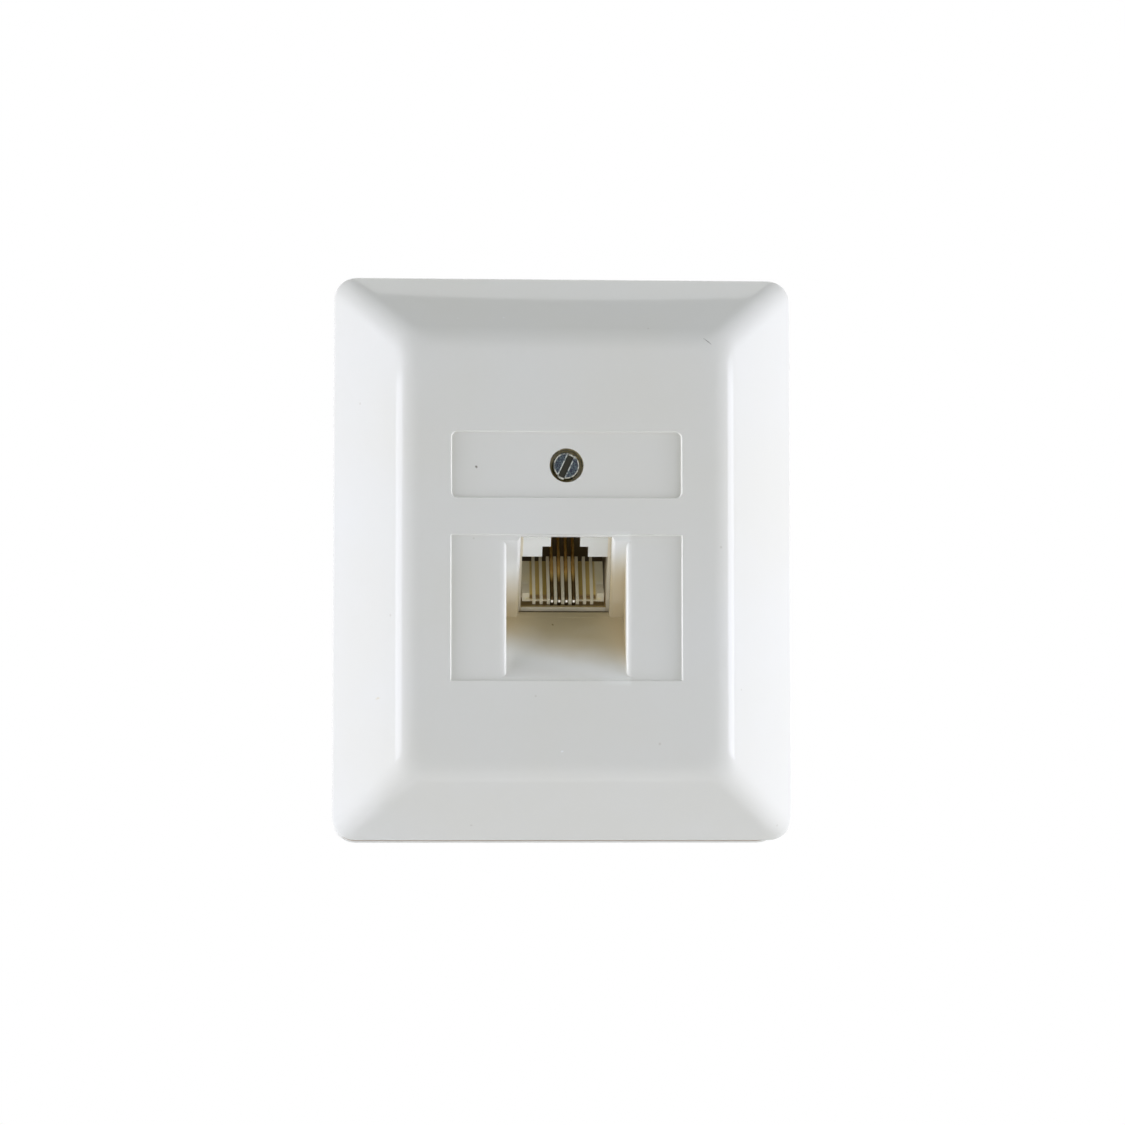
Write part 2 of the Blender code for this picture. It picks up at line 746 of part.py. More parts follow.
def build_comb():
    """Nine ribs on a bed that rises inwards and overhangs the well, with a block at each front corner."""
    low = COMB_BOTTOM + 0.1
    comb = box(
        "contact_carrier",
        (-COMB_HALF_WIDTH, COMB_OVERHANG, COMB_BOTTOM),
        (COMB_HALF_WIDTH, COMB_BACK, SHELF_TOP - 0.02),
        PARTS,
        JACK,
        CREAM_PLASTIC,
    )
    bed = [
        (BED_FRONT[0], SHELF_BOTTOM),
        BED_FRONT,
        BED_BACK,
        (BED_BACK[0] + 0.6, BED_BACK[1] - 0.7),
        (BED_BACK[0] + 0.9, low),
        (COMB_OVERHANG + 0.4, low),
        (COMB_OVERHANG + 0.4, SHELF_BOTTOM),
    ]
    bed_half = 0.995 * COMB_HALF_WIDTH
    join(comb, prism("comb_bed", bed, -bed_half, bed_half, CUTTERS, JACK))
    block_back = BED_FRONT[0] + (CORNER_BLOCK_TOP - BED_FRONT[1]) / BED_SLOPE + 0.2
    guard = (len(CONTACT_NUMBERS) / 2 + 0.05) * CONTACT_PITCH
    inner = COMB_HALF_WIDTH - CORNER_BLOCK_WIDTH
    notches = []
    for side, tag in SIDES:
        across = sorted((side * inner, side * (COMB_HALF_WIDTH - 0.06)))
        block = box(
            f"comb_block_{tag}",
            (across[0], SHELF_FRONT - 0.02, SHELF_BOTTOM + 0.03),
            (across[1], block_back, CORNER_BLOCK_TOP),
            CUTTERS,
            JACK,
        )
        across = sorted((side * guard, side * (inner + 0.1)))
        shelf = box(
            f"comb_shelf_{tag}",
            (across[0], SHELF_FRONT, SHELF_BOTTOM + 0.015),
            (across[1], BED_FRONT[0] + 0.3, SHELF_TOP),
            CUTTERS,
            JACK,
        )
        join(comb, block, shelf)
        across = sorted((side * (inner - 0.3), side * (inner + CORNER_NOTCH)))
        notch_top = CORNER_BLOCK_TOP - CORNER_NOTCH
        notches.append(
            box(
                f"comb_notch_{tag}",
                (across[0], SHELF_FRONT - 1, notch_top - CORNER_NOTCH),
                (across[1], SHELF_FRONT + CORNER_NOTCH, notch_top),
                CUTTERS,
                JACK,
            )
        )
    rib_back = BED_BACK[0] + 0.25
    for index in range(COMB_RIBS):
        x = (index - COMB_RIBS // 2) * CONTACT_PITCH
        outline = [
            (RIB_FRONT, RIB_FOOT),
            (BED_FRONT[0] + 0.4, RIB_FOOT),
            (BED_FRONT[0] + 0.8, BED_FRONT[1]),
            (BED_BACK[0] - 0.3, BED_BACK[1] - 0.6),
            (rib_back, BED_BACK[1] - 0.5),
            (rib_back - 0.15, BED_BACK[1] + RIB_RISE),
            (BED_FRONT[0] - 0.4, BED_FRONT[1] - 0.4 * BED_SLOPE + RIB_RISE),
            (RIB_FRONT, BED_FRONT[1] + 0.1),
        ]
        half = RIB_THICKNESS / 2
        join(comb, prism(f"comb_rib_{index + 1}", outline, x - half, x + half, CUTTERS, JACK))
    cut(comb, *notches)
    return comb


def smooth_path(corners, radius, steps=4):
    """The corners of a bent wire, each replaced by a small arc."""
    path = [corners[0]]
    for before, corner, after in zip(corners, corners[1:], corners[2:]):
        back = (before - corner).normalized()
        ahead = (after - corner).normalized()
        reach = min(radius, 0.45 * (before - corner).length, 0.45 * (after - corner).length)
        start = corner + back * reach
        end = corner + ahead * reach
        for step in range(steps + 1):
            t = step / steps
            path.append(start * (1 - t) ** 2 + corner * 2 * t * (1 - t) + end * t**2)
    path.append(corners[-1])
    return path


def build_contact(number):
    """One bent wire, from its springy free end round the front of the comb to the board."""
    x = (number - 4.5) * CONTACT_PITCH
    low = BED_FRONT[1] + CONTACT_LIFT
    nose = RIB_FRONT + CONTACT_RADIUS + 0.01
    flat = [
        (CONTACT_END, low + CONTACT_STEEPNESS * (CONTACT_END - BED_FRONT[0])),
        (BED_FRONT[0], low),
        (nose, low - 0.45),
        (nose, 0.0),
        (CONTACT_TAIL, 0.0),
    ]
    corners = [JACK @ Vector((x, v, u)) for v, u in flat]
    tail = corners[-1]
    corners.append(Vector((tail.x, (BOARD_BACK - GAP - TOTAL_DEPTH) * MM, tail.z)))
    path = smooth_path(corners, 2 * CONTACT_RADIUS * MM)
    curve = bpy.data.curves.new(f"contact_{number}", "CURVE")
    curve.dimensions = "3D"
    curve.bevel_depth = CONTACT_RADIUS * MM
    curve.bevel_resolution = 1
    curve.use_fill_caps = True
    line = curve.splines.new("POLY")
    line.points.add(len(path) - 1)
    for point, place in zip(line.points, path):
        point.co = (*place, 1)
    return object_of(f"contact_{number}", curve, PARTS, GOLD)


def build_bracket():
    """The wedge on the board that carries the tilted jack, with a screw flange each side."""
    outline = [
        (BRACKET_FOOT, BRACKET_BOTTOM),
        (BRACKET_FOOT, BRACKET_TOP),
        (BRACKET_FOOT - BRACKET_STEP, BRACKET_TOP),
        (NOTCH_DEPTH + BRACKET_CHEEK_TOP[0], NOTCH_HEIGHT + BRACKET_CHEEK_TOP[1]),
        (NOTCH_DEPTH + BRACKET_CHEEK_BOTTOM[0], NOTCH_HEIGHT + BRACKET_CHEEK_BOTTOM[1]),
    ]
    bracket = prism(
        "jack_bracket", outline, -BRACKET_HALF_WIDTH, BRACKET_HALF_WIDTH, PARTS, skin=WHITE
    )
    flange = box(
        "bracket_flange",
        (-FLANGE_HALF_WIDTH, BRACKET_FOOT - FLANGE_THICKNESS, -FLANGE_HALF_HEIGHT),
        (FLANGE_HALF_WIDTH, BRACKET_FOOT - 0.02, FLANGE_HALF_HEIGHT),
        CUTTERS,
    )
    join(bracket, flange)
    room = box(
        "bracket_room",
        (-JACK_HALF_WIDTH - GAP, JACK_FRONT - 2, JACK_FLOOR - GAP),
        (JACK_HALF_WIDTH + GAP, JACK_BACK + GAP, JACK_BROW + 3),
        CUTTERS,
        JACK,
    )
    wide, high = 3.1 * CONTACT_PITCH, 1.2 * CONTACT_PITCH
    low, top = (-wide, 2 * NOTCH_DEPTH, TAIL_HEIGHT - high), (wide, BOARD_BACK, TAIL_HEIGHT + high)
    cut(bracket, room, box("bracket_tail_room", low, top, CUTTERS))
    near, far = BRACKET_FOOT - FLANGE_THICKNESS - 1, BRACKET_FOOT + 1
    for side, tag in SIDES:
        x, z = side * BRACKET_SCREW_X, BRACKET_SCREW_Z
        cut(bracket, cylinder(f"flange_hole_{tag}", SMALL_HOLE_RADIUS, x, z, near, far, CUTTERS))
    return bracket


def build_terminals():
    """A block of four rising-cage terminals, open upwards for the wires."""
    half = TERMINAL_PITCH * TERMINAL_COUNT / 2 + TERMINAL_MARGIN
    block = box(
        "terminal_block",
        (-half, TERMINAL_FRONT, TERMINAL_BOTTOM),
        (half, BRACKET_FOOT, TERMINAL_TOP),
        PARTS,
        skin=GREY_PLASTIC,
    )
    room_front = TERMINAL_FRONT + WIRE_ROOM_FRONT
    room_back = room_front + WIRE_ROOM_HEIGHT
    room_bottom = TERMINAL_BOTTOM + WIRE_ROOM_INSET
    head_front = TERMINAL_FRONT + TERMINAL_HEAD_DEPTH
    for index in range(TERMINAL_COUNT):
        x = (index - (TERMINAL_COUNT - 1) / 2) * TERMINAL_PITCH
        number = index + 1
        room_half = WIRE_ROOM_HALF_WIDTH
        low, top = (x - room_half, room_front, room_bottom), (x + room_half, room_back, TERMINAL_TOP + 1)
        head_room = TERMINAL_HEAD_RADIUS + GAP
        cut(
            block,
            box(f"wire_room_{number}", low, top, CUTTERS),
            cylinder(
                f"screw_room_{number}",
                head_room,
                x,
                TERMINAL_SCREW_Z,
                TERMINAL_FRONT - 1,
                room_front + 0.5,
                CUTTERS,
                steps=20,
            ),
        )
        cage_front, cage_back = room_front + GAP, room_back - GAP
        cage_half = room_half - GAP
        low = (x - cage_half, cage_front, room_bottom + GAP)
        top = (x + cage_half, cage_back, TERMINAL_TOP - 1)
        clamp = box(f"terminal_clamp_{number}", low, top, PARTS, skin=ZINC)
        mouth_half = cage_half - TERMINAL_WALL
        low = (x - mouth_half, cage_front + TERMINAL_WALL, TERMINAL_BOTTOM)
        top = (x + mouth_half, cage_back - TERMINAL_WALL, TERMINAL_TOP)
        cut(clamp, box(f"clamp_mouth_{number}", low, top, CUTTERS))
        slotted_screw(
            f"terminal_screw_{number}",
            x,
            TERMINAL_SCREW_Z,
            TERMINAL_HEAD_RADIUS,
            head_front,
            TERMINAL_HEAD_HEIGHT,
            TERMINAL_SHANK_RADIUS,
            cage_front - GAP,
            TERMINAL_SLOT,
            20 + 40 * index,
            ZINC,
        )
    return block


def small_screw(name, x, z, seat, angle):
    """One of the four equal screws of the bracket and the cable clamp, with its head on the seat."""
    return slotted_screw(
        name,
        x,
        z,
        SMALL_HEAD_RADIUS,
        seat - GAP - SMALL_HEAD_HEIGHT,
        SMALL_HEAD_HEIGHT,
        SMALL_SHANK_RADIUS,
        BASE_FRONT + SMALL_REACH,
        SMALL_SLOT,
        angle,
        ZINC,
    )


def build_cable_clamp():
    """A bar across the cable entry, with a tongue that presses on the cable."""
    slant = CLAMP_TONGUE / 2
    half_outline = [
        (CLAMP_HALF_WIDTH - CLAMP_CHAMFER, CLAMP_FRONT),
        (CLAMP_HALF_WIDTH, CLAMP_FRONT + CLAMP_CHAMFER),
        (CLAMP_HALF_WIDTH, CLAMP_BACK),
        (CLAMP_TONGUE_HALF_WIDTH, CLAMP_BACK),
        (CLAMP_TONGUE_HALF_WIDTH - slant, CLAMP_BACK + CLAMP_TONGUE),
    ]
    mirrored = [(-x, depth) for x, depth in reversed(half_outline)]
    clamp = prism(
        "cable_clamp",
        [*half_outline, *mirrored],
        CLAMP_Z - CLAMP_HALF_HEIGHT,
        CLAMP_Z + CLAMP_HALF_HEIGHT,
        PARTS,
        axis="Z",
        skin=WHITE,
    )
    near, far = CLAMP_FRONT - 1, CLAMP_BACK + 1
    for number, (side, tag) in enumerate(SIDES, 1):
        x = side * CLAMP_X
        cut(clamp, cylinder(f"clamp_bar_hole_{tag}", SMALL_HOLE_RADIUS, x, CLAMP_Z, near, far, CUTTERS))
        small_screw(f"cable_clamp_screw_{number}", x, CLAMP_Z, CLAMP_FRONT, 30 + 70 * number)
    return clamp


def build_fasteners():
    slotted_screw(
        "cover_screw",
        0,
        SCREW_HEIGHT,
        SCREW_HEAD_RADIUS,
        SCREW_HEAD_TOP,
        SCREW_HEAD_HEIGHT,
        SCREW_SHANK_RADIUS,
        SCREW_END,
        SCREW_SLOT_WIDTH,
        SCREW_SLOT_ANGLE,
        STEEL,
    )
    hollow = SCREW_SHANK_RADIUS + GAP / 2
    nut = cylinder("cover_nut", NUT_RADIUS, 0, SCREW_HEIGHT, NUT_FRONT, NUT_BACK, PARTS, skin=BRASS)
    cut(nut, cylinder("nut_thread_room", hollow, 0, SCREW_HEIGHT, NUT_FRONT - 1, NUT_BACK + 1, CUTTERS))
    seat = BRACKET_FOOT - FLANGE_THICKNESS
    for number, (side, _) in enumerate(SIDES, 1):
        x = side * BRACKET_SCREW_X
        small_screw(f"bracket_screw_{number}", x, BRACKET_SCREW_Z, seat, 15 + 60 * number)


clear_scene()
PARTS = new_collection("Ethernet wall socket")
CUTTERS = new_collection("Shaping pieces")
CUTTERS.hide_render = True

WHITE = material("white_plastic", (0.80, 0.785, 0.735), 0.0, 0.25)
GREY_PLASTIC = material("grey_plastic", (0.45, 0.46, 0.46), 0.0, 0.4)
CREAM_PLASTIC = material("cream_plastic", (0.72, 0.68, 0.58), 0.0, 0.4)
LAMINATE = material("board_laminate", (0.05, 0.22, 0.09), 0.0, 0.45)
GOLD = material("gold_plating", (0.83, 0.63, 0.24), 1.0, 0.25)
STEEL = material("blued_steel", (0.30, 0.35, 0.42), 1.0, 0.3)
ZINC = material("zinc_plating", (0.62, 0.63, 0.64), 1.0, 0.32)
BRASS = material("brass", (0.72, 0.55, 0.26), 1.0, 0.35)

build_cover()
build_base()
build_board()
build_jack()
build_comb()
for contact_number in CONTACT_NUMBERS:
    build_contact(contact_number)
build_bracket()
build_terminals()
build_cable_clamp()
build_fasteners()
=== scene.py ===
"""Looks of the ethernet wall socket: its finishes, studio lights and camera, laid out as an add-on."""

import math

import bpy
import numpy as np
from bpy.props import FloatProperty, FloatVectorProperty, PointerProperty
from mathutils import Matrix, Vector


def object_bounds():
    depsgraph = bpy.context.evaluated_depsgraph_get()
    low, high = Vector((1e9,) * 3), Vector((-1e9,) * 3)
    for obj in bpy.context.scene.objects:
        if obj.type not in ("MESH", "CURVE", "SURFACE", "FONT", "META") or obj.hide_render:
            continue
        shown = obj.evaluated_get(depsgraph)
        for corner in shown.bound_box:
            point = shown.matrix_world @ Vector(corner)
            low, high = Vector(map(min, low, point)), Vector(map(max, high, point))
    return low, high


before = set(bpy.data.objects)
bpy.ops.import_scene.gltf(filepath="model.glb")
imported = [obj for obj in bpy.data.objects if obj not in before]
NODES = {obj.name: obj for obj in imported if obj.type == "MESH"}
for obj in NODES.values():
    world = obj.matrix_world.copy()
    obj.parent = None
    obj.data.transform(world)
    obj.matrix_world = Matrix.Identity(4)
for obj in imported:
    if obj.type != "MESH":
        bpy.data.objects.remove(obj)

CAD_BOX = [list(corner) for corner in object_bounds()]

bl_info = {
    "name": "Ethernet wall socket",
    "version": (1, 0, 0),
    "blender": (4, 5, 0),
    "location": "View3D > Sidebar > Wall socket",
    "description": "Finishes, studio lights and camera of a surface-mounted ethernet wall socket",
    "category": "Object",
}

INNER_NODES = ("jack_bracket", "cable_clamp")
CONTACTS = [name for name in NODES if name.startswith("contact_") and name != "contact_carrier"]
ZINC_NODES = [
    name for name in NODES
    if name.startswith(("bracket_screw", "cable_clamp_screw", "terminal_")) and name != "terminal_block"]

# Lengths are in metres, apart from those in the jack's own frame. Down to the colours, a pair is a span
# over which a mask fades in or out.

FACE_Y = CAD_BOX[0][1]

# The plug notch in the cover, and how far past its walls its painted light and shade fade out.
NOTCH_HALF_WIDTH = 0.0086
NOTCH_LOW = -0.0178
NOTCH_HIGH = 0.0028
NOTCH_DEPTH = 0.007
NOTCH_FADE = 0.0005

# Depths behind the face over which the notch gets painted light and then warm painted shade. The lean, in
# metres of depth for each metre to the right, brings the painted shade nearer the face at the right, and the
# wobble makes its edge uneven.
NOTCH_LIGHT_DEPTH = (0.0002, 0.0024)
NOTCH_SHADE_DEPTH = (0.0010, 0.0056)
SHADE_LEAN = 0.15
SHADE_WOBBLE = 0.0003

# The cover screw: its height, its hole with painted shade in its depth, its head with the rim at its edge,
# worn and with a painted highlight, and the turn of its slot with the slot's wall and the worn edges beside
# it.
SCREW_Z = 0.0123
SCREW_HOLE_RADIUS = 0.00245
SCREW_HOLE_EDGE = 0.00005
SCREW_HOLE_DEPTH = (0.0006, 0.0010)
SCREW_HEAD_RADIUS = 0.00188
SCREW_RIM = (-0.0003, 0.0001)
SCREW_RIM_EDGE = 0.0001
SLOT_TURN = math.radians(65)
SLOT_WALL = (0.00043, 0.00046)
SLOT_EDGE_START = (0.00044, 0.00048)
SLOT_EDGE_END = (0.00058, 0.00064)

# The painted shadow line on the base plate's front face, in the gap under the cover's rim: its Y, its height
# from the middle, and its strength.
GAP_SHADOW_FRONT = (-0.00199, -0.0019)
GAP_SHADOW_HEIGHT = (0.03970, 0.03980)
GAP_SHADOW_STRENGTH = 0.85

# The jack's own frame: the height of its foot in the notch, and its lean. In it, in millimetres, V runs into
# the wall, U up along the jack's face, and X across.
JACK_FOOT_Z = -0.00843
JACK_TILT = 0.57381
# The spans below place the jack's painted light and shade.
JACK_WIDTH = (-5.5, 5.5)
JACK_LIP_TOP = (0.4, 0.5)
JACK_BEHIND_FACE = (2.1, 2.2)
JACK_DEEP = (3.5, 6.5)
JACK_RIM_SIDE = (5.85, 5.95)
JACK_RIM_DEPTH = (2.0, 7.0)
JACK_ROOF_HEIGHT = (8.3, 8.8)
JACK_ROOF_DEPTH = (2.3, 2.8)
JACK_WELL_TOP = (0.6, 0.75)
JACK_SHADE_WOBBLE = 0.15

# The comb in the jack's frame: its bed's front, foot and slope, its ribs, and where its painted shade starts.
BED_FRONT = 4.0
BED_FOOT = 1.2
BED_SLOPE = 0.652
RIB_PITCH = 1.016
RIB_SIDE = (0.215, 0.230)
RIB_FOOT_DEPTH = (3.2, 3.6)
BED_SHADE_RISE = (0.12, 0.5)
BED_SHADE_SIDE = (4.55, 4.75)
BED_OUTER_SIDE = (2.2, 4.5)
COMB_BACK_DEPTH = (5.6, 9.0)
COMB_BACK_SIDE = (4.4, 4.7)
COMB_BACK_STRENGTH = 0.5
PANEL_SIDE = (4.5, 4.7)
PANEL_DEPTH = (5.6, 6.2)
COMB_FOOT_HEIGHT = (1.2, 1.4)

# The contacts in the jack's frame: where painted shade covers the gold towards the foot, and the painted
# highlight on the nose.
CONTACT_SHADE_HEIGHT = (2.7, 3.7)
CONTACT_SHADE_STRENGTH = 0.95
NOSE_BOTTOM = (0.65, 0.8)
NOSE_TOP = (0.98, 1.1)
NOSE_DEPTH = (4.1, 4.4)

# Colours of wear, and of painted light, shade and highlights.
# Painted light near the notch's edge, and warm painted shade deeper in it.
NOTCH_PAINTED_LIGHT = (0.91, 0.91, 0.87)
NOTCH_PAINTED_SHADE = (0.66, 0.55, 0.345)
# Warm painted shade inside the screw hole.
SCREW_HOLE_SHADE = (0.9, 0.78, 0.42)
# A painted shadow line in the gap under the cover's rim.
GAP_SHADOW = (0.34, 0.21, 0.11)
# Painted light on the jack's lip and port rims, and painted shade in its port, roof and well.
LIP_LIGHT = (1.0, 0.93, 0.78)
PORT_SHADE = (0.34, 0.27, 0.15)
PORT_DEEP_SHADE = (0.12, 0.09, 0.045)
PORT_RIM_LIGHT = (0.88, 0.80, 0.62)
PORT_ROOF_SHADE = (0.15, 0.11, 0.055)
WELL_SHADE = (0.41, 0.30, 0.125)
# Painted shade on the comb's bed, its back and its foot.
BED_INNER_SHADE = (0.42, 0.30, 0.07)
BED_OUTER_SHADE = (0.82, 0.66, 0.27)
COMB_BACK_SHADE = (0.34, 0.26, 0.12)
PANEL_CREAM = (0.97, 0.88, 0.62)
COMB_FOOT_SHADE = (0.41, 0.28, 0.12)
SLOT_GREY = (0.045, 0.045, 0.036)
SLOT_EDGE_STEEL = (0.50, 0.53, 0.50)
# The rim's colour: wear, with a painted highlight.
RIM_WEAR_AND_HIGHLIGHT = (0.62, 0.62, 0.56)
# Painted shade on the contacts, and a painted highlight on their nose.
CONTACT_SHADE = (0.07, 0.045, 0.018)
NOSE_HIGHLIGHT = (0.98, 0.96, 0.90)

# Plain finishes of the hidden pieces.
TERMINAL_GREY = (0.45, 0.46, 0.46)
ZINC = (0.62, 0.63, 0.64)
BRASS = (0.72, 0.55, 0.26)

# What a colour is multiplied by: warm drift and dust on plastic, painted shade on the jack's right side,
# stains on plated metal, and the lighter mottle of blued steel.
WARM_TINT = (0.985, 0.975, 0.945)
DUST_TINT = (0.82, 0.80, 0.76)
JACK_RIGHT_SHADE = (0.856, 0.856, 0.839)
PLATING_STAIN = (0.5, 0.45, 0.4)
GOLD_STAIN = (0.8, 0.7, 0.6)
STEEL_MOTTLE = (3.167, 4.167, 2.7)

# A faint painted glow of the jack and the comb, an emission in the colour of their skin.
PAINTED_GLOW = 0.05

# The share of cells with a speck at full dust, and what specks, hairlines and streaks add to roughness.
SPECK_SHARE = 0.03
SPECK_ROUGHNESS = 0.3
HAIR_ROUGHNESS = 0.2
STREAK_ROUGHNESS = 0.18

# How far apart a CAD mesh's loose corners may lie and still be joined, and the bend that stays an edge.
SEAM = 0.000001
SHARP_BEND = math.radians(32)

# The span in which nearly all values of a noise lie.
NOISE_SPAN = (0.3, 0.7)

# A metal's blotches: noise scale, noise detail, and the span over which they fade in.
PLATING_BLOTCH = (700.0, 4.0, (0.45, 0.7))
STEEL_BLOTCH = (7000.0, 2.0, (0.4, 0.6))

# Marks on the cover: place, half size, turn, softness, how strong, and colour.
PALE_DUST = (0.97, 0.97, 0.97)
MARKS = (
    ((-0.01253, -0.02565, 0.01204), (0.00022, 0.002, 0.00022), 0.0, 0.5, 0.85, (0.16, 0.13, 0.09)),
    ((0.01960, -0.02500, 0.02970), (0.00008, 0.003, 0.00075), 0.9, 0.5, 0.75, (0.22, 0.20, 0.17)),
    ((-0.00866, -0.02500, 0.03315), (0.00018, 0.003, 0.00018), 0.0, 0.6, 0.8, PALE_DUST),
    ((-0.01503, -0.02500, 0.03301), (0.00016, 0.003, 0.00016), 0.0, 0.6, 0.7, PALE_DUST),
    ((-0.00062, -0.02500, -0.02726), (0.00024, 0.003, 0.00016), 0.4, 0.6, 0.8, PALE_DUST),
    ((-0.02595, -0.02200, -0.01990), (0.00035, 0.006, 0.00022), 0.3, 0.7, 0.35, (0.62, 0.50, 0.24)),
    ((-0.00160, -0.01950, -0.00950), (0.00020, 0.003, 0.00016), 0.0, 0.6, 0.7, (0.25, 0.17, 0.08)),
)

# The arc of tall strips at each side: turn from straight ahead in degrees, and watts at the left and right.
STRIPS = (
    (52, 0.50, 0.75), (61, 0.95, 0.80), (69, 1.60, 1.75), (77, 1.50, 2.10), (85, 5.3, 5.2),
)
STRIP_SIZE = (0.13, 0.9)

# The short side strips that are seen in reflections alone: turn, rise as a share of their distance, size,
# and watts at the left and right.
GLOSS_TURN = 68
GLOSS_RISE = 0.035
GLOSS_SIZE = (0.36, 0.26)
GLOSS_POWER = (0.95, 1.1)

# The wide lamps below: turn down from straight ahead in degrees, and watts.
LOW_LIGHTS = ((50, 0.30), (72, 0.42))
LOW_SIZE = (0.6, 0.3)

# The round lamp above.
HIGH_PLACE = (0.03, 0.3067, 0.54)
HIGH_WIDTH = 0.46

ROOM_TINT = (0.92, 1.0, 0.91)
WHITE = (1.0, 1.0, 1.0)

FLOOR_Z = -0.95
FLOOR_HALF = 4.0


class FinishSettings(bpy.types.PropertyGroup):
    shell_colour: FloatVectorProperty(
        name="Shell colour", description="Warm white of the moulded cover and base",
        subtype="COLOR", size=3, min=0, max=1, default=(0.80, 0.79, 0.745))
    shell_roughness: FloatProperty(
        name="Shell roughness", description="Roughness of the moulded white plastic",
        subtype="FACTOR", min=0, max=1, default=0.055)
    jack_colour: FloatVectorProperty(
        name="Jack colour", description="White plastic of the jack housing, at the left of its face",
        subtype="COLOR", size=3, min=0, max=1, default=(0.97, 0.97, 0.93))
    comb_colour: FloatVectorProperty(
        name="Comb colour", description="Cream plastic of the contact carrier",
        subtype="COLOR", size=3, min=0, max=1, default=(0.97, 0.91, 0.73))
    steel_colour: FloatVectorProperty(
        name="Cover screw colour", description="Dark blued steel of the cover screw",
        subtype="COLOR", size=3, min=0, max=1, default=(0.030, 0.030, 0.050))
    gold_colour: FloatVectorProperty(
        name="Contact colour", description="Gold plating of the jack contacts",
        subtype="COLOR", size=3, min=0, max=1, default=(0.92, 0.64, 0.21))
    dust: FloatProperty(
        name="Dust", description="How much fine dust lies on the cover and the base",
        subtype="FACTOR", min=0, max=1, default=0.35)


class CameraSettings(bpy.types.PropertyGroup):
    place: FloatVectorProperty(
        name="Place", description="Where the camera stands",
        subtype="TRANSLATION", unit="LENGTH", size=3, default=(-0.03245, -0.55176, -0.035715))
    yaw: FloatProperty(
        name="Yaw", description="Turn of the view towards +X", subtype="ANGLE", default=0.060509)
    pitch: FloatProperty(
        name="Pitch", description="Lift of the view", subtype="ANGLE", default=0.065432)
    lens: FloatProperty(
        name="Focal length", description="Focal length on a 36 mm sensor, in millimetres", default=122.37)


class LightSettings(bpy.types.PropertyGroup):
    side_colour: FloatVectorProperty(
        name="Side light colour", description="Cool white of the lamps at the sides",
        subtype="COLOR", size=3, min=0, max=1, default=(0.86, 0.876, 1.0))
    left_power: FloatProperty(
        name="Left strips", description="Factor of the tall strips at the left", default=1.0)
    right_power: FloatProperty(
        name="Right strips", description="Factor of the tall strips at the right", default=1.0)
    gloss_power: FloatProperty(
        name="Gloss strips", description="Factor of the side strips that are seen in reflections alone",
        default=1.0)
    low_power: FloatProperty(
        name="Low lights", description="Factor of the wide lamps below", default=1.0)
    high_power: FloatProperty(
        name="High light", description="Power of the round lamp above, seen in reflections alone",
        unit="POWER", default=0.65)
    distance: FloatProperty(
        name="Distance", description="Distance of the side and low lamps from the socket",
        subtype="DISTANCE", unit="LENGTH", default=0.9)
    room: FloatProperty(
        name="Room light", description="Strength of the even light of the room", default=0.218)


class SocketSettings(bpy.types.PropertyGroup):
    finish: PointerProperty(type=FinishSettings)
    camera: PointerProperty(type=CameraSettings)
    light: PointerProperty(type=LightSettings)


def settings():
    return bpy.context.scene.wall_socket


# Shader building.


def fill(tree, socket, value):
    """Links another socket to this one, or sets its value. A colour comes without its alpha, which is 1."""
    if isinstance(value, bpy.types.NodeSocket):
        tree.links.new(value, socket)
    elif socket.type == "RGBA":
        socket.default_value = (*value, 1.0)
    else:
        socket.default_value = value


def add_node(tree, kind, inputs=None, **values):
    """A node with its plain attributes and its input sockets set."""
    made = tree.nodes.new(kind)
    for key, value in values.items():
        setattr(made, key, value)
    for key, value in (inputs or {}).items():
        fill(tree, made.inputs[key], value)
    return made


def noise(tree, vector, scale, detail=3.0):
    made = add_node(tree, "ShaderNodeTexNoise", {"Vector": vector, "Scale": scale, "Detail": detail})
    return made.outputs["Fac"]


def spread(tree, value, span, low=0.0, high=1.0):
    """The value stretched from its span to the range from low to high, and held inside it."""
    made = add_node(
        tree, "ShaderNodeMapRange",
        {"Value": value, "From Min": span[0], "From Max": span[1], "To Min": low, "To Max": high})
    return made.outputs["Result"]


def fall(tree, value, span):
    """1 before the span, 0 after it."""
    return spread(tree, value, span, 1.0, 0.0)


def maths(tree, operation, first, second=0.0, third=0.0):
    made = add_node(tree, "ShaderNodeMath", {0: first, 1: second, 2: third}, operation=operation)
    return made.outputs["Value"]


def both(tree, first, second):
    """The product of two masks."""
    return maths(tree, "MULTIPLY", first, second)


def split(tree, vector):
    return add_node(tree, "ShaderNodeSeparateXYZ", {"Vector": vector}).outputs


def blend_colours(tree, factor, first, second):
    made = tree.nodes.new("ShaderNodeMix")
    made.data_type = "RGBA"
    for index, value in ((0, factor), (6, first), (7, second)):
        fill(tree, made.inputs[index], value)
    return made.outputs[2]


def tint(colour, factors):
    return [part * factor for part, factor in zip(colour, factors)]


def new_group(name, inputs, outputs):
    """An empty node group with named sockets. Returns it with the sockets inside it."""
    tree = bpy.data.node_groups.new(name, "ShaderNodeTree")
    for title, kind, value in inputs:
        made = tree.interface.new_socket(title, in_out="INPUT", socket_type=kind)
        if value is not None:
            made.default_value = value
    for title in outputs:
        tree.interface.new_socket(title, in_out="OUTPUT", socket_type="NodeSocketFloat")
    entry = tree.nodes.new("NodeGroupInput")
    leave = tree.nodes.new("NodeGroupOutput")
    return tree, entry.outputs, leave.inputs


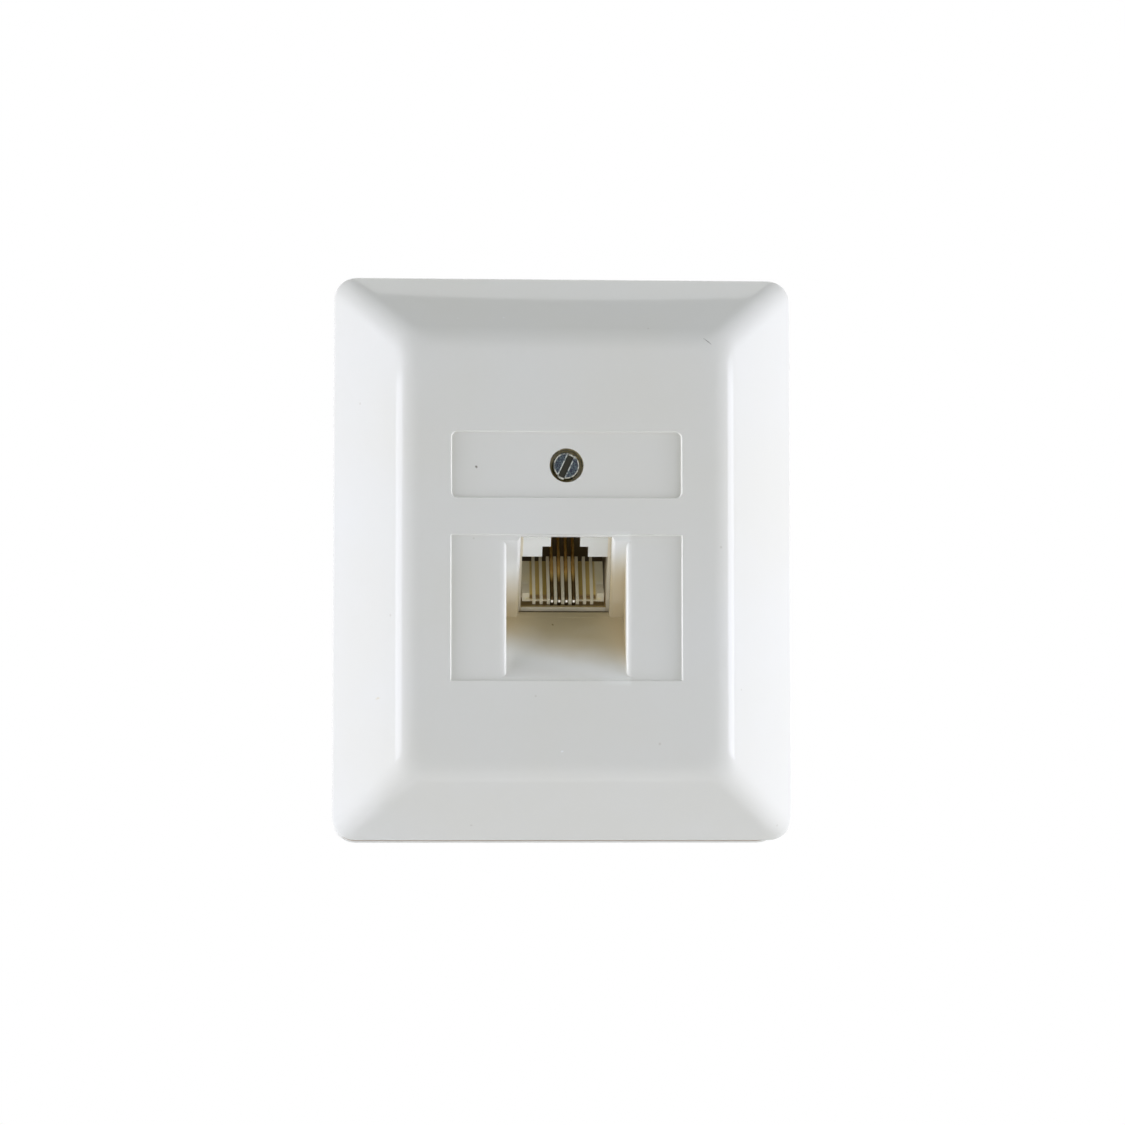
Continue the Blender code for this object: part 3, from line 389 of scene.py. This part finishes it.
def speck_group():
    """Fine dust: small soft dots at the centres of a fine cell pattern, in a random share of its cells."""
    tree, given, wanted = new_group(
        "Dust specks",
        [
            ("Vector", "NodeSocketVector", None), ("Scale", "NodeSocketFloat", 900.0),
            ("Amount", "NodeSocketFloat", 0.3)],
        ["Mask"],
    )
    cells = add_node(tree, "ShaderNodeTexVoronoi", {"Vector": given["Vector"], "Scale": given["Scale"]})
    dots = fall(tree, cells.outputs["Distance"], (0.06, 0.16))
    random = add_node(tree, "ShaderNodeSeparateColor", {"Color": cells.outputs["Color"]}).outputs["Red"]
    chosen = maths(tree, "GREATER_THAN", random, maths(tree, "SUBTRACT", 1.0, given["Amount"]))
    tree.links.new(both(tree, dots, chosen), wanted["Mask"])
    return tree


def scratch_group():
    """Hairline scratches: thin level lines of a noise that is stretched along one direction, in patches."""
    tree, given, wanted = new_group(
        "Hairline scratches",
        [
            ("Vector", "NodeSocketVector", None), ("Turn", "NodeSocketVector", None),
            ("Amount", "NodeSocketFloat", 0.5)],
        ["Mask"],
    )
    turned = add_node(
        tree, "ShaderNodeMapping",
        {"Vector": given["Vector"], "Rotation": given["Turn"], "Scale": (900.0, 60.0, 40.0)})
    lines = noise(tree, turned.outputs["Vector"], 1.0, 1.0)
    off = maths(tree, "ABSOLUTE", maths(tree, "SUBTRACT", lines, 0.5))
    thin = fall(tree, off, (0.0, 0.004))
    patches = spread(tree, noise(tree, given["Vector"], 90.0, 2.0), (0.55, 0.68))
    tree.links.new(both(tree, both(tree, thin, patches), given["Amount"]), wanted["Mask"])
    return tree


def moulded_group():
    """The skin of a moulded part: broad tone drift, gloss drift, and the slight waviness of the mould."""
    tree, given, wanted = new_group(
        "Moulded skin",
        [("Vector", "NodeSocketVector", None), ("Gloss", "NodeSocketFloat", 0.25)],
        ["Tone", "Roughness", "Height"],
    )
    broad = noise(tree, given["Vector"], 45.0)
    middle = noise(tree, given["Vector"], 320.0)
    fine = noise(tree, given["Vector"], 2600.0, 2.0)
    tree.links.new(spread(tree, broad, NOISE_SPAN), wanted["Tone"])
    drift = spread(tree, middle, NOISE_SPAN, -0.01, 0.015)
    tree.links.new(maths(tree, "ADD", given["Gloss"], drift), wanted["Roughness"])
    tree.links.new(maths(tree, "MULTIPLY_ADD", fine, 0.35, middle), wanted["Height"])
    return tree


def spot_group():
    """A soft round or drawn-out spot with a ragged edge, at one place."""
    tree, given, wanted = new_group(
        "Spot",
        [
            ("Vector", "NodeSocketVector", None), ("Place", "NodeSocketVector", None),
            ("Size", "NodeSocketVector", None), ("Turn", "NodeSocketFloat", 0.0),
            ("Soft", "NodeSocketFloat", 0.4)],
        ["Mask"],
    )
    away = add_node(
        tree, "ShaderNodeVectorMath", {0: given["Vector"], 1: given["Place"]}, operation="SUBTRACT")
    turned = add_node(
        tree, "ShaderNodeVectorRotate", {"Vector": away.outputs[0], "Angle": given["Turn"]},
        rotation_type="Y_AXIS")
    scaled = add_node(
        tree, "ShaderNodeVectorMath", {0: turned.outputs[0], 1: given["Size"]}, operation="DIVIDE")
    length = add_node(tree, "ShaderNodeVectorMath", {0: scaled.outputs[0]}, operation="LENGTH")
    ragged = spread(tree, noise(tree, given["Vector"], 3500.0, 2.0), NOISE_SPAN, -0.3, 0.3)
    reach = maths(tree, "ADD", length.outputs["Value"], ragged)
    inner = maths(tree, "SUBTRACT", 1.0, given["Soft"])
    tree.links.new(fall(tree, reach, (inner, 1.0)), wanted["Mask"])
    return tree


def hollow_group():
    """How deep a point lies in the plug notch: 0 at the start depth, 1 at the end depth, 0 outside it."""
    tree, given, wanted = new_group(
        "Notch depth",
        [
            ("Vector", "NodeSocketVector", None), ("Start", "NodeSocketFloat", 0.0),
            ("End", "NodeSocketFloat", 1.0)],
        ["Mask"],
    )
    place = split(tree, given["Vector"])
    # The edge of the notch's painted light and shade is made uneven, and leans nearer the face at the right.
    wobble = spread(tree, noise(tree, given["Vector"], 160.0, 2.0), NOISE_SPAN, -SHADE_WOBBLE, SHADE_WOBBLE)
    leaning = maths(tree, "MULTIPLY_ADD", place["X"], SHADE_LEAN, place["Y"])
    deep = add_node(
        tree, "ShaderNodeMapRange",
        {"Value": maths(tree, "ADD", leaning, wobble), "From Min": given["Start"], "From Max": given["End"]},
        interpolation_type="SMOOTHSTEP")
    side = maths(tree, "ABSOLUTE", place["X"])
    inside = fall(tree, side, (NOTCH_HALF_WIDTH, NOTCH_HALF_WIDTH + NOTCH_FADE))
    low = spread(tree, place["Z"], (NOTCH_LOW - NOTCH_FADE, NOTCH_LOW))
    high = fall(tree, place["Z"], (NOTCH_HIGH, NOTCH_HIGH + NOTCH_FADE))
    mask = both(tree, deep.outputs["Result"], both(tree, inside, low))
    tree.links.new(both(tree, mask, high), wanted["Mask"])
    return tree


def jack_group():
    """Place in the jack's own frame, in millimetres: V into the wall, U up the jack's face, X across."""
    tree, given, wanted = new_group("Jack frame", [("Vector", "NodeSocketVector", None)], ["V", "U", "X"])
    foot = (0.0, FACE_Y + NOTCH_DEPTH, JACK_FOOT_Z)
    away = add_node(tree, "ShaderNodeVectorMath", {0: given["Vector"], 1: foot}, operation="SUBTRACT")
    turned = add_node(
        tree, "ShaderNodeVectorRotate", {"Vector": away.outputs[0], "Angle": -JACK_TILT},
        rotation_type="X_AXIS")
    large = add_node(
        tree, "ShaderNodeVectorMath", {0: turned.outputs[0], "Scale": 1000.0}, operation="SCALE")
    place = split(tree, large.outputs[0])
    for key, axis in (("V", "Y"), ("U", "Z"), ("X", "X")):
        tree.links.new(place[axis], wanted[key])
    return tree


def ring_group():
    """A soft-edged band around a level axis that runs into the wall: 1 between two radii."""
    tree, given, wanted = new_group(
        "Ring",
        [
            ("Vector", "NodeSocketVector", None), ("Height", "NodeSocketFloat", 0.0),
            ("Inner", "NodeSocketFloat", 0.0), ("Outer", "NodeSocketFloat", 1.0),
            ("Edge", "NodeSocketFloat", 0.1)],
        ["Mask"],
    )
    place = split(tree, given["Vector"])
    rise = maths(tree, "SUBTRACT", place["Z"], given["Height"])
    flat = add_node(tree, "ShaderNodeCombineXYZ", {"X": place["X"], "Y": 0.0, "Z": rise})
    radius = add_node(tree, "ShaderNodeVectorMath", {0: flat.outputs[0]}, operation="LENGTH").outputs["Value"]
    past = spread(tree, radius, (given["Inner"], maths(tree, "ADD", given["Inner"], given["Edge"])))
    short = fall(tree, radius, (maths(tree, "SUBTRACT", given["Outer"], given["Edge"]), given["Outer"]))
    tree.links.new(both(tree, past, short), wanted["Mask"])
    return tree


def place_group(tree, make, name, inputs):
    """Places a node group, which is made at its first use. Returns its output sockets."""
    made = tree.nodes.new("ShaderNodeGroup")
    made.node_tree = bpy.data.node_groups.get(name) or make()
    for key, value in inputs.items():
        fill(tree, made.inputs[key], value)
    return made.outputs


def jack_frame(tree, vector):
    return place_group(tree, jack_group, "Jack frame", {"Vector": vector})


def notch_depth(tree, vector, depths):
    """The mask of the notch's skin between two depths behind the face."""
    made = place_group(
        tree, hollow_group, "Notch depth",
        {"Vector": vector, "Start": FACE_Y + depths[0], "End": FACE_Y + depths[1]})
    return made["Mask"]


def screw_ring(tree, vector, inner, outer, edge):
    """The mask of a band around the cover screw's axis."""
    made = place_group(
        tree, ring_group, "Ring",
        {"Vector": vector, "Height": SCREW_Z, "Inner": inner, "Outer": outer, "Edge": edge})
    return made["Mask"]


def start_material(name):
    """A new material. Returns it with its tree, its Principled shader and the Object coordinates."""
    made = bpy.data.materials.new(name)
    made.use_nodes = True
    tree = made.node_tree
    shader = tree.nodes["Principled BSDF"]
    vector = tree.nodes.new("ShaderNodeTexCoord").outputs["Object"]
    return made, tree, shader, vector


def cover_marks_and_shade(tree, vector, base):
    """Painted light at the notch's edge and warm painted shade in its depth, painted shade in the screw hole,
    and the marks of the face.
    """
    base = blend_colours(tree, notch_depth(tree, vector, NOTCH_LIGHT_DEPTH), base, NOTCH_PAINTED_LIGHT)
    base = blend_colours(tree, notch_depth(tree, vector, NOTCH_SHADE_DEPTH), base, NOTCH_PAINTED_SHADE)
    # Painted shade in the screw hole.
    hole = screw_ring(tree, vector, 0.0, SCREW_HOLE_RADIUS, SCREW_HOLE_EDGE)
    behind = (FACE_Y + SCREW_HOLE_DEPTH[0], FACE_Y + SCREW_HOLE_DEPTH[1])
    sunk = spread(tree, split(tree, vector)["Y"], behind)
    base = blend_colours(tree, both(tree, hole, sunk), base, SCREW_HOLE_SHADE)
    for place, size, turn, soft, strength, colour in MARKS:
        spot = place_group(
            tree, spot_group, "Spot",
            {"Vector": vector, "Place": place, "Size": size, "Turn": turn, "Soft": soft})
        base = blend_colours(tree, both(tree, spot["Mask"], strength), base, colour)
    return base


def jack_shade(tree, vector, base):
    """The whole jack, in painted light and shade: white in front with painted shade to the right, painted
    light on its lip and side rims, brown painted shade behind its face, near black painted shade deep in and
    above the port.

    It paints over the plain skin's colour.
    """
    jack = jack_frame(tree, vector)
    # Noise that makes the edges of the painted shade uneven.
    blotch = spread(tree, noise(tree, vector, 500.0), NOISE_SPAN, -JACK_SHADE_WOBBLE, JACK_SHADE_WOBBLE)
    depth = maths(tree, "ADD", jack["V"], blotch)
    side = maths(tree, "ABSOLUTE", jack["X"])
    behind = spread(tree, jack["V"], JACK_BEHIND_FACE)
    white = settings().finish.jack_colour
    # Painted shade dims the jack's right side.
    base = blend_colours(tree, spread(tree, jack["X"], JACK_WIDTH), white, tint(white, JACK_RIGHT_SHADE))
    base = blend_colours(tree, fall(tree, jack["U"], JACK_LIP_TOP), base, LIP_LIGHT)
    base = blend_colours(tree, behind, base, PORT_SHADE)
    base = blend_colours(tree, spread(tree, depth, JACK_DEEP), base, PORT_DEEP_SHADE)
    rim = both(tree, spread(tree, side, JACK_RIM_SIDE), fall(tree, depth, JACK_RIM_DEPTH))
    base = blend_colours(tree, rim, base, PORT_RIM_LIGHT)
    roof = both(tree, spread(tree, jack["U"], JACK_ROOF_HEIGHT), spread(tree, depth, JACK_ROOF_DEPTH))
    base = blend_colours(tree, roof, base, PORT_ROOF_SHADE)
    well = both(tree, fall(tree, jack["U"], JACK_WELL_TOP), behind)
    return blend_colours(tree, well, base, WELL_SHADE)


def comb_shade(tree, vector, base):
    """The comb: cream ribs and blocks over a bed in brown painted shade, with more painted shade as it runs
    back into the jack and at its foot.
    """
    jack = jack_frame(tree, vector)
    bed = maths(tree, "MULTIPLY_ADD", jack["V"], BED_SLOPE, BED_FOOT - BED_SLOPE * BED_FRONT)
    rise = maths(tree, "SUBTRACT", jack["U"], bed)
    side = maths(tree, "ABSOLUTE", jack["X"])
    nearest = maths(tree, "ROUND", maths(tree, "DIVIDE", jack["X"], RIB_PITCH))
    off = maths(tree, "ABSOLUTE", maths(tree, "MULTIPLY_ADD", nearest, -RIB_PITCH, jack["X"]))
    rib_foot = both(tree, fall(tree, off, RIB_SIDE), fall(tree, jack["V"], RIB_FOOT_DEPTH))
    low = both(tree, fall(tree, rise, BED_SHADE_RISE), maths(tree, "SUBTRACT", 1.0, rib_foot))
    dark = both(tree, low, fall(tree, side, BED_SHADE_SIDE))
    # Painted shade on the bed, lighter at its outer sides.
    bed_shade = blend_colours(tree, spread(tree, side, BED_OUTER_SIDE), BED_INNER_SHADE, BED_OUTER_SHADE)
    base = blend_colours(tree, dark, base, bed_shade)
    back = both(
        tree, spread(tree, jack["V"], COMB_BACK_DEPTH, 0.0, COMB_BACK_STRENGTH),
        fall(tree, side, COMB_BACK_SIDE))
    base = blend_colours(tree, back, base, COMB_BACK_SHADE)
    panel = both(tree, spread(tree, side, PANEL_SIDE), spread(tree, jack["V"], PANEL_DEPTH))
    base = blend_colours(tree, panel, base, PANEL_CREAM)
    foot = both(tree, fall(tree, jack["U"], COMB_FOOT_HEIGHT), dark)
    return blend_colours(tree, foot, base, COMB_FOOT_SHADE)


def base_gap_shadow(tree, vector, base):
    """A painted shadow line on the base plate's front face, in the gap behind the cover's rim."""
    place = split(tree, vector)
    front = spread(tree, place["Y"], GAP_SHADOW_FRONT, GAP_SHADOW_STRENGTH, 0.0)
    under = fall(tree, maths(tree, "ABSOLUTE", place["Z"]), GAP_SHADOW_HEIGHT)
    return blend_colours(tree, both(tree, front, under), base, GAP_SHADOW)


def moulded_plastic(name, colour, roughness, dust, marks_and_painted_light=None, glow=0.0):
    """Moulded plastic with tone drift, dust, hairlines and a faintly wavy skin.

    The marks it is given can add painted light and shade, and a part can get a little painted glow in the
    colour of its skin.
    """
    made, tree, shader, vector = start_material(name)
    skin = place_group(tree, moulded_group, "Moulded skin", {"Vector": vector, "Gloss": roughness})
    specks = place_group(
        tree, speck_group, "Dust specks", {"Vector": vector, "Scale": 700.0, "Amount": dust * SPECK_SHARE})
    hairs = place_group(
        tree, scratch_group, "Hairline scratches", {"Vector": vector, "Turn": (0.2, 0.4, 0.9), "Amount": 0.5})
    base = blend_colours(tree, skin["Tone"], colour, tint(colour, WARM_TINT))
    base = blend_colours(tree, specks["Mask"], base, tint(colour, DUST_TINT))
    if marks_and_painted_light:
        base = marks_and_painted_light(tree, vector, base)
    rough = maths(tree, "MULTIPLY_ADD", specks["Mask"], SPECK_ROUGHNESS, skin["Roughness"])
    rough = maths(tree, "MULTIPLY_ADD", hairs["Mask"], HAIR_ROUGHNESS, rough)
    bump = add_node(
        tree, "ShaderNodeBump", {"Height": skin["Height"], "Strength": 0.012, "Distance": 0.0002})
    tree.links.new(base, shader.inputs["Base Color"])
    tree.links.new(rough, shader.inputs["Roughness"])
    tree.links.new(bump.outputs["Normal"], shader.inputs["Normal"])
    # A little painted glow.
    if glow:
        tree.links.new(base, shader.inputs["Emission Color"])
        shader.inputs["Emission Strength"].default_value = glow
    return made


def screw_marks_and_highlight(tree, vector, base):
    """The blued head: worn and with a painted highlight at its rim, worn bright at the slot's two edges, dull
    grey in the slot.
    """
    axis = (0.0, 0.0, SCREW_Z)
    away = add_node(tree, "ShaderNodeVectorMath", {0: vector, 1: axis}, operation="SUBTRACT")
    turned = add_node(
        tree, "ShaderNodeVectorRotate", {"Vector": away.outputs[0], "Angle": SLOT_TURN},
        rotation_type="Y_AXIS")
    off = maths(tree, "ABSOLUTE", split(tree, turned.outputs[0])["Z"])
    chips = spread(tree, noise(tree, vector, 2600.0), (0.35, 0.6))
    base = blend_colours(tree, fall(tree, off, SLOT_WALL), base, SLOT_GREY)
    edge = both(tree, spread(tree, off, SLOT_EDGE_START), fall(tree, off, SLOT_EDGE_END))
    base = blend_colours(tree, both(tree, edge, chips), base, SLOT_EDGE_STEEL)
    rim = screw_ring(
        tree, vector, SCREW_HEAD_RADIUS + SCREW_RIM[0], SCREW_HEAD_RADIUS + SCREW_RIM[1], SCREW_RIM_EDGE)
    return blend_colours(tree, both(tree, rim, chips), base, RIM_WEAR_AND_HIGHLIGHT)


def contact_shade_and_highlight(tree, vector, base):
    """The contacts: gold, with painted shade towards the foot and a painted highlight at the very nose."""
    jack = jack_frame(tree, vector)
    low = spread(tree, jack["U"], CONTACT_SHADE_HEIGHT, CONTACT_SHADE_STRENGTH, 0.0)
    base = blend_colours(tree, low, base, CONTACT_SHADE)
    nose = both(tree, spread(tree, jack["U"], NOSE_BOTTOM), fall(tree, jack["U"], NOSE_TOP))
    nose = both(tree, nose, fall(tree, jack["V"], NOSE_DEPTH))
    return blend_colours(tree, nose, base, NOSE_HIGHLIGHT)


def worn_metal(name, colour, roughness, stain=PLATING_STAIN, blotch=PLATING_BLOTCH, marks_and_painted_light=None):
    """Plated or blued metal with blotches of another tone, and fine streaks in its gloss."""
    made, tree, shader, vector = start_material(name)
    scale, detail, span = blotch
    patches = spread(tree, noise(tree, vector, scale, detail), span)
    base = blend_colours(tree, patches, colour, tint(colour, stain))
    # Marks, and for some parts painted light and shade.
    if marks_and_painted_light:
        base = marks_and_painted_light(tree, vector, base)
    streaks = noise(tree, vector, 4200.0, 2.0)
    rough = maths(tree, "MULTIPLY_ADD", streaks, STREAK_ROUGHNESS, roughness)
    bump = add_node(tree, "ShaderNodeBump", {"Height": streaks, "Strength": 0.12, "Distance": 0.00005})
    tree.links.new(base, shader.inputs["Base Color"])
    tree.links.new(rough, shader.inputs["Roughness"])
    tree.links.new(bump.outputs["Normal"], shader.inputs["Normal"])
    shader.inputs["Metallic"].default_value = 1.0
    return made


def board_laminate():
    """Green lacquer over a woven glass board."""
    made, tree, shader, vector = start_material("board_laminate")
    threads = [
        add_node(
            tree, "ShaderNodeTexWave", {"Vector": vector, "Scale": 500.0, "Distortion": 0.6},
            wave_type="BANDS", bands_direction=axis).outputs["Fac"]
        for axis in ("X", "Z")]
    cloth = maths(tree, "ADD", *threads)
    base = blend_colours(tree, spread(tree, cloth, (0.0, 2.0)), (0.03, 0.17, 0.07), (0.06, 0.25, 0.11))
    bump = add_node(tree, "ShaderNodeBump", {"Height": cloth, "Strength": 0.1, "Distance": 0.0001})
    tree.links.new(base, shader.inputs["Base Color"])
    tree.links.new(bump.outputs["Normal"], shader.inputs["Normal"])
    shader.inputs["Roughness"].default_value = 0.35
    return made


def dress(names, finish):
    """Gives the CAD nodes a finish, and smooth shading across their gently bent faces."""
    for name in names:
        piece = NODES[name]
        piece.data.materials.clear()
        piece.data.materials.append(finish)
        piece.data.polygons.foreach_set("use_smooth", np.ones(len(piece.data.polygons), dtype=bool))
        weld = piece.modifiers.new("Close seams", "WELD")
        weld.merge_threshold = SEAM
        edges = piece.modifiers.new("Keep sharp edges", "EDGE_SPLIT")
        edges.split_angle = SHARP_BEND


class ShellFinish(bpy.types.Operator):
    """Dresses the cover and the base plate in glossy warm-white plastic."""

    bl_idname = "wall_socket.shell_finish"
    bl_label = "Shell finish"

    def execute(self, context):
        wanted = settings().finish
        skin = wanted.shell_colour, wanted.shell_roughness, wanted.dust
        dress(["cover"], moulded_plastic("white_cover", *skin, marks_and_painted_light=cover_marks_and_shade))
        dress(["base_plate"], moulded_plastic("white_base", *skin, marks_and_painted_light=base_gap_shadow))
        return {"FINISHED"}


class JackFinish(bpy.types.Operator):
    """Dresses the jack housing, its bracket, the cable clamp, the comb and the terminal block."""

    bl_idname = "wall_socket.jack_finish"
    bl_label = "Jack finish"

    def execute(self, context):
        wanted = settings().finish
        jack = moulded_plastic(
            "jack_plastic", wanted.jack_colour, roughness=0.3, dust=0.5, marks_and_painted_light=jack_shade, glow=PAINTED_GLOW)
        comb = moulded_plastic(
            "comb_plastic", wanted.comb_colour, roughness=0.4, dust=0.6, marks_and_painted_light=comb_shade, glow=PAINTED_GLOW)
        dress(["jack_housing"], jack)
        dress(["contact_carrier"], comb)
        dress(INNER_NODES, moulded_plastic("inner_plastic", wanted.shell_colour, roughness=0.4, dust=0.1))
        dress(["terminal_block"], moulded_plastic("terminal_plastic", TERMINAL_GREY, roughness=0.4, dust=0.1))
        return {"FINISHED"}


class MetalFinish(bpy.types.Operator):
    """Dresses the screws, the clamps, the nut and the contacts in their metals."""

    bl_idname = "wall_socket.metal_finish"
    bl_label = "Metal finish"

    def execute(self, context):
        wanted = settings().finish
        steel = worn_metal("blued_steel", wanted.steel_colour, 0.24, STEEL_MOTTLE, STEEL_BLOTCH, screw_marks_and_highlight)
        dress(["cover_screw"], steel)
        dress(ZINC_NODES, worn_metal("zinc_plating", ZINC, 0.25))
        dress(["cover_nut"], worn_metal("brass", BRASS, 0.3))
        dress(CONTACTS, worn_metal("gold_plating", wanted.gold_colour, 0.35, GOLD_STAIN, marks_and_painted_light=contact_shade_and_highlight))
        return {"FINISHED"}


class BoardFinish(bpy.types.Operator):
    """Dresses the circuit board in green lacquer."""

    bl_idname = "wall_socket.board_finish"
    bl_label = "Board finish"

    def execute(self, context):
        dress(["circuit_board"], board_laminate())
        return {"FINISHED"}


def softbox(name, power, place, target, size, colour=WHITE):
    """An area lamp that faces its target: a rectangle of width and height, or a disc for one width alone."""
    lamp = bpy.data.lights.new(name, "AREA")
    lamp.shape = "RECTANGLE" if len(size) == 2 else "DISK"
    lamp.size = size[0]
    if len(size) == 2:
        lamp.size_y = size[1]
    lamp.energy = power
    lamp.color = colour
    made = bpy.data.objects.new(name, lamp)
    bpy.context.scene.collection.objects.link(made)
    away = (place - target).normalized()
    side = Vector((0, 0, 1)).cross(away)
    side = side.normalized() if side.length > 0.01 else Vector((1, 0, 0))
    turn = Matrix((side, away.cross(side), away)).transposed().to_4x4()
    made.matrix_world = Matrix.Translation(place) @ turn
    return made


def side_place(centre, distance, side, turn, rise=0.0):
    """A place to the left (-1) or right (1) of the centre, turned in degrees from straight ahead of it."""
    angle = math.radians(turn)
    return centre + distance * Vector((side * math.sin(angle), -math.cos(angle), rise))


def seen_factor(tree):
    """1 for what the camera sees, straight, mirrored or through glass, and 0 for light that falls on it."""
    path = tree.nodes.new("ShaderNodeLightPath")
    straight = maths(tree, "MAXIMUM", path.outputs["Is Camera Ray"], path.outputs["Is Glossy Ray"])
    return maths(tree, "MAXIMUM", straight, path.outputs["Is Transmission Ray"])


def set_world(strength):
    """Even room light, pure white where the camera looks past the socket."""
    world = bpy.data.worlds.new("Studio room")
    bpy.context.scene.world = world
    world.use_nodes = True
    tree = world.node_tree
    tree.nodes.clear()
    room = add_node(tree, "ShaderNodeBackground", {"Color": ROOM_TINT, "Strength": strength})
    white = add_node(tree, "ShaderNodeBackground", {"Color": WHITE, "Strength": 1.0})
    mixed = add_node(
        tree, "ShaderNodeMixShader",
        {0: seen_factor(tree), 1: room.outputs["Background"], 2: white.outputs["Background"]})
    out = tree.nodes.new("ShaderNodeOutputWorld")
    tree.links.new(mixed.outputs["Shader"], out.inputs["Surface"])


def add_floor():
    """A plain pale floor far below the socket, white where the camera sees it."""
    mesh = bpy.data.meshes.new("floor")
    corners = [(x * FLOOR_HALF, y * FLOOR_HALF, FLOOR_Z) for x, y in ((-1, -1), (1, -1), (1, 1), (-1, 1))]
    mesh.from_pydata(corners, [], [(0, 1, 2, 3)])
    floor = bpy.data.objects.new("floor", mesh)
    bpy.context.scene.collection.objects.link(floor)
    made, tree, shader, vector = start_material("floor_paint")
    shade = blend_colours(tree, noise(tree, vector, 30.0), (0.80, 0.80, 0.79), (0.84, 0.84, 0.83))
    tree.links.new(shade, shader.inputs["Base Color"])
    shader.inputs["Roughness"].default_value = 0.6
    white = add_node(tree, "ShaderNodeEmission", {"Color": WHITE, "Strength": 1.0})
    mixed = add_node(
        tree, "ShaderNodeMixShader",
        {0: seen_factor(tree), 1: shader.outputs["BSDF"], 2: white.outputs["Emission"]})
    tree.links.new(mixed.outputs["Shader"], tree.nodes["Material Output"].inputs["Surface"])
    mesh.materials.append(made)


def add_camera(wanted):
    """The camera at the photograph's viewing angle."""
    lens = bpy.data.cameras.new("Camera")
    lens.lens = wanted.lens
    lens.sensor_width = 36.0
    lens.clip_start = 0.01
    camera = bpy.data.objects.new("Camera", lens)
    bpy.context.scene.collection.objects.link(camera)
    ahead = Vector((
        math.sin(wanted.yaw) * math.cos(wanted.pitch),
        math.cos(wanted.yaw) * math.cos(wanted.pitch),
        math.sin(wanted.pitch),
    ))
    side = ahead.cross(Vector((0, 0, 1))).normalized()
    turn = Matrix((side, side.cross(ahead), -ahead)).transposed().to_4x4()
    camera.matrix_world = Matrix.Translation(wanted.place) @ turn
    bpy.context.scene.camera = camera


class Stage(bpy.types.Operator):
    """Sets the lamps, the floor, the room light and the camera."""

    bl_idname = "wall_socket.stage"
    bl_label = "Stage"

    def execute(self, context):
        light = settings().light
        centre = Vector((0, FACE_Y, 0))
        factors = light.left_power, light.right_power
        # Strips that show in the gloss draw hard bars on the border's corners, so these don't show in it.
        for turn, *powers in STRIPS:
            for side, tag, power, factor in zip((-1, 1), ("Left", "Right"), powers, factors):
                place = side_place(centre, light.distance, side, turn)
                strip = softbox(
                    f"{tag} strip {turn}", power * factor, place, centre, STRIP_SIZE, light.side_colour)
                strip.visible_glossy = False
        for side, tag, power in zip((-1, 1), ("Left", "Right"), GLOSS_POWER):
            place = side_place(centre, light.distance, side, GLOSS_TURN, GLOSS_RISE)
            power *= light.gloss_power
            gloss = softbox(f"{tag} gloss strip", power, place, centre, GLOSS_SIZE, light.side_colour)
            gloss.visible_diffuse = False
        for turn, power in LOW_LIGHTS:
            angle = math.radians(turn)
            place = centre + light.distance * Vector((0, -math.cos(angle), -math.sin(angle)))
            softbox(f"Low light {turn}", power * light.low_power, place, centre, LOW_SIZE)
        above = Vector(HIGH_PLACE)
        high = softbox("High light", light.high_power, above, above - Vector((0, 0, 1)), (HIGH_WIDTH,))
        high.visible_diffuse = False
        add_floor()
        set_world(light.room)
        add_camera(settings().camera)
        context.scene.view_settings.view_transform = "Standard"
        return {"FINISHED"}


class SocketPanel(bpy.types.Panel):
    """Lists the settings and the steps of the wall socket."""

    bl_idname = "VIEW3D_PT_wall_socket"
    bl_label = "Wall socket"
    bl_space_type = "VIEW_3D"
    bl_region_type = "UI"
    bl_category = "Wall socket"

    def draw(self, context):
        wanted = context.scene.wall_socket
        for group in (wanted.finish, wanted.camera, wanted.light):
            box = self.layout.box()
            for key in group.__annotations__:
                box.prop(group, key)
        for step in STEPS:
            self.layout.operator(step.bl_idname)


STEPS = (ShellFinish, JackFinish, MetalFinish, BoardFinish, Stage)
CLASSES = (FinishSettings, CameraSettings, LightSettings, SocketSettings, *STEPS, SocketPanel)


def register():
    for item in CLASSES:
        bpy.utils.register_class(item)
    bpy.types.Scene.wall_socket = PointerProperty(type=SocketSettings)


def unregister():
    del bpy.types.Scene.wall_socket
    for item in reversed(CLASSES):
        bpy.utils.unregister_class(item)


def main():
    register()
    for step in STEPS:
        family, name = step.bl_idname.split(".")
        getattr(getattr(bpy.ops, family), name)()


if __name__ == "__main__":
    main()
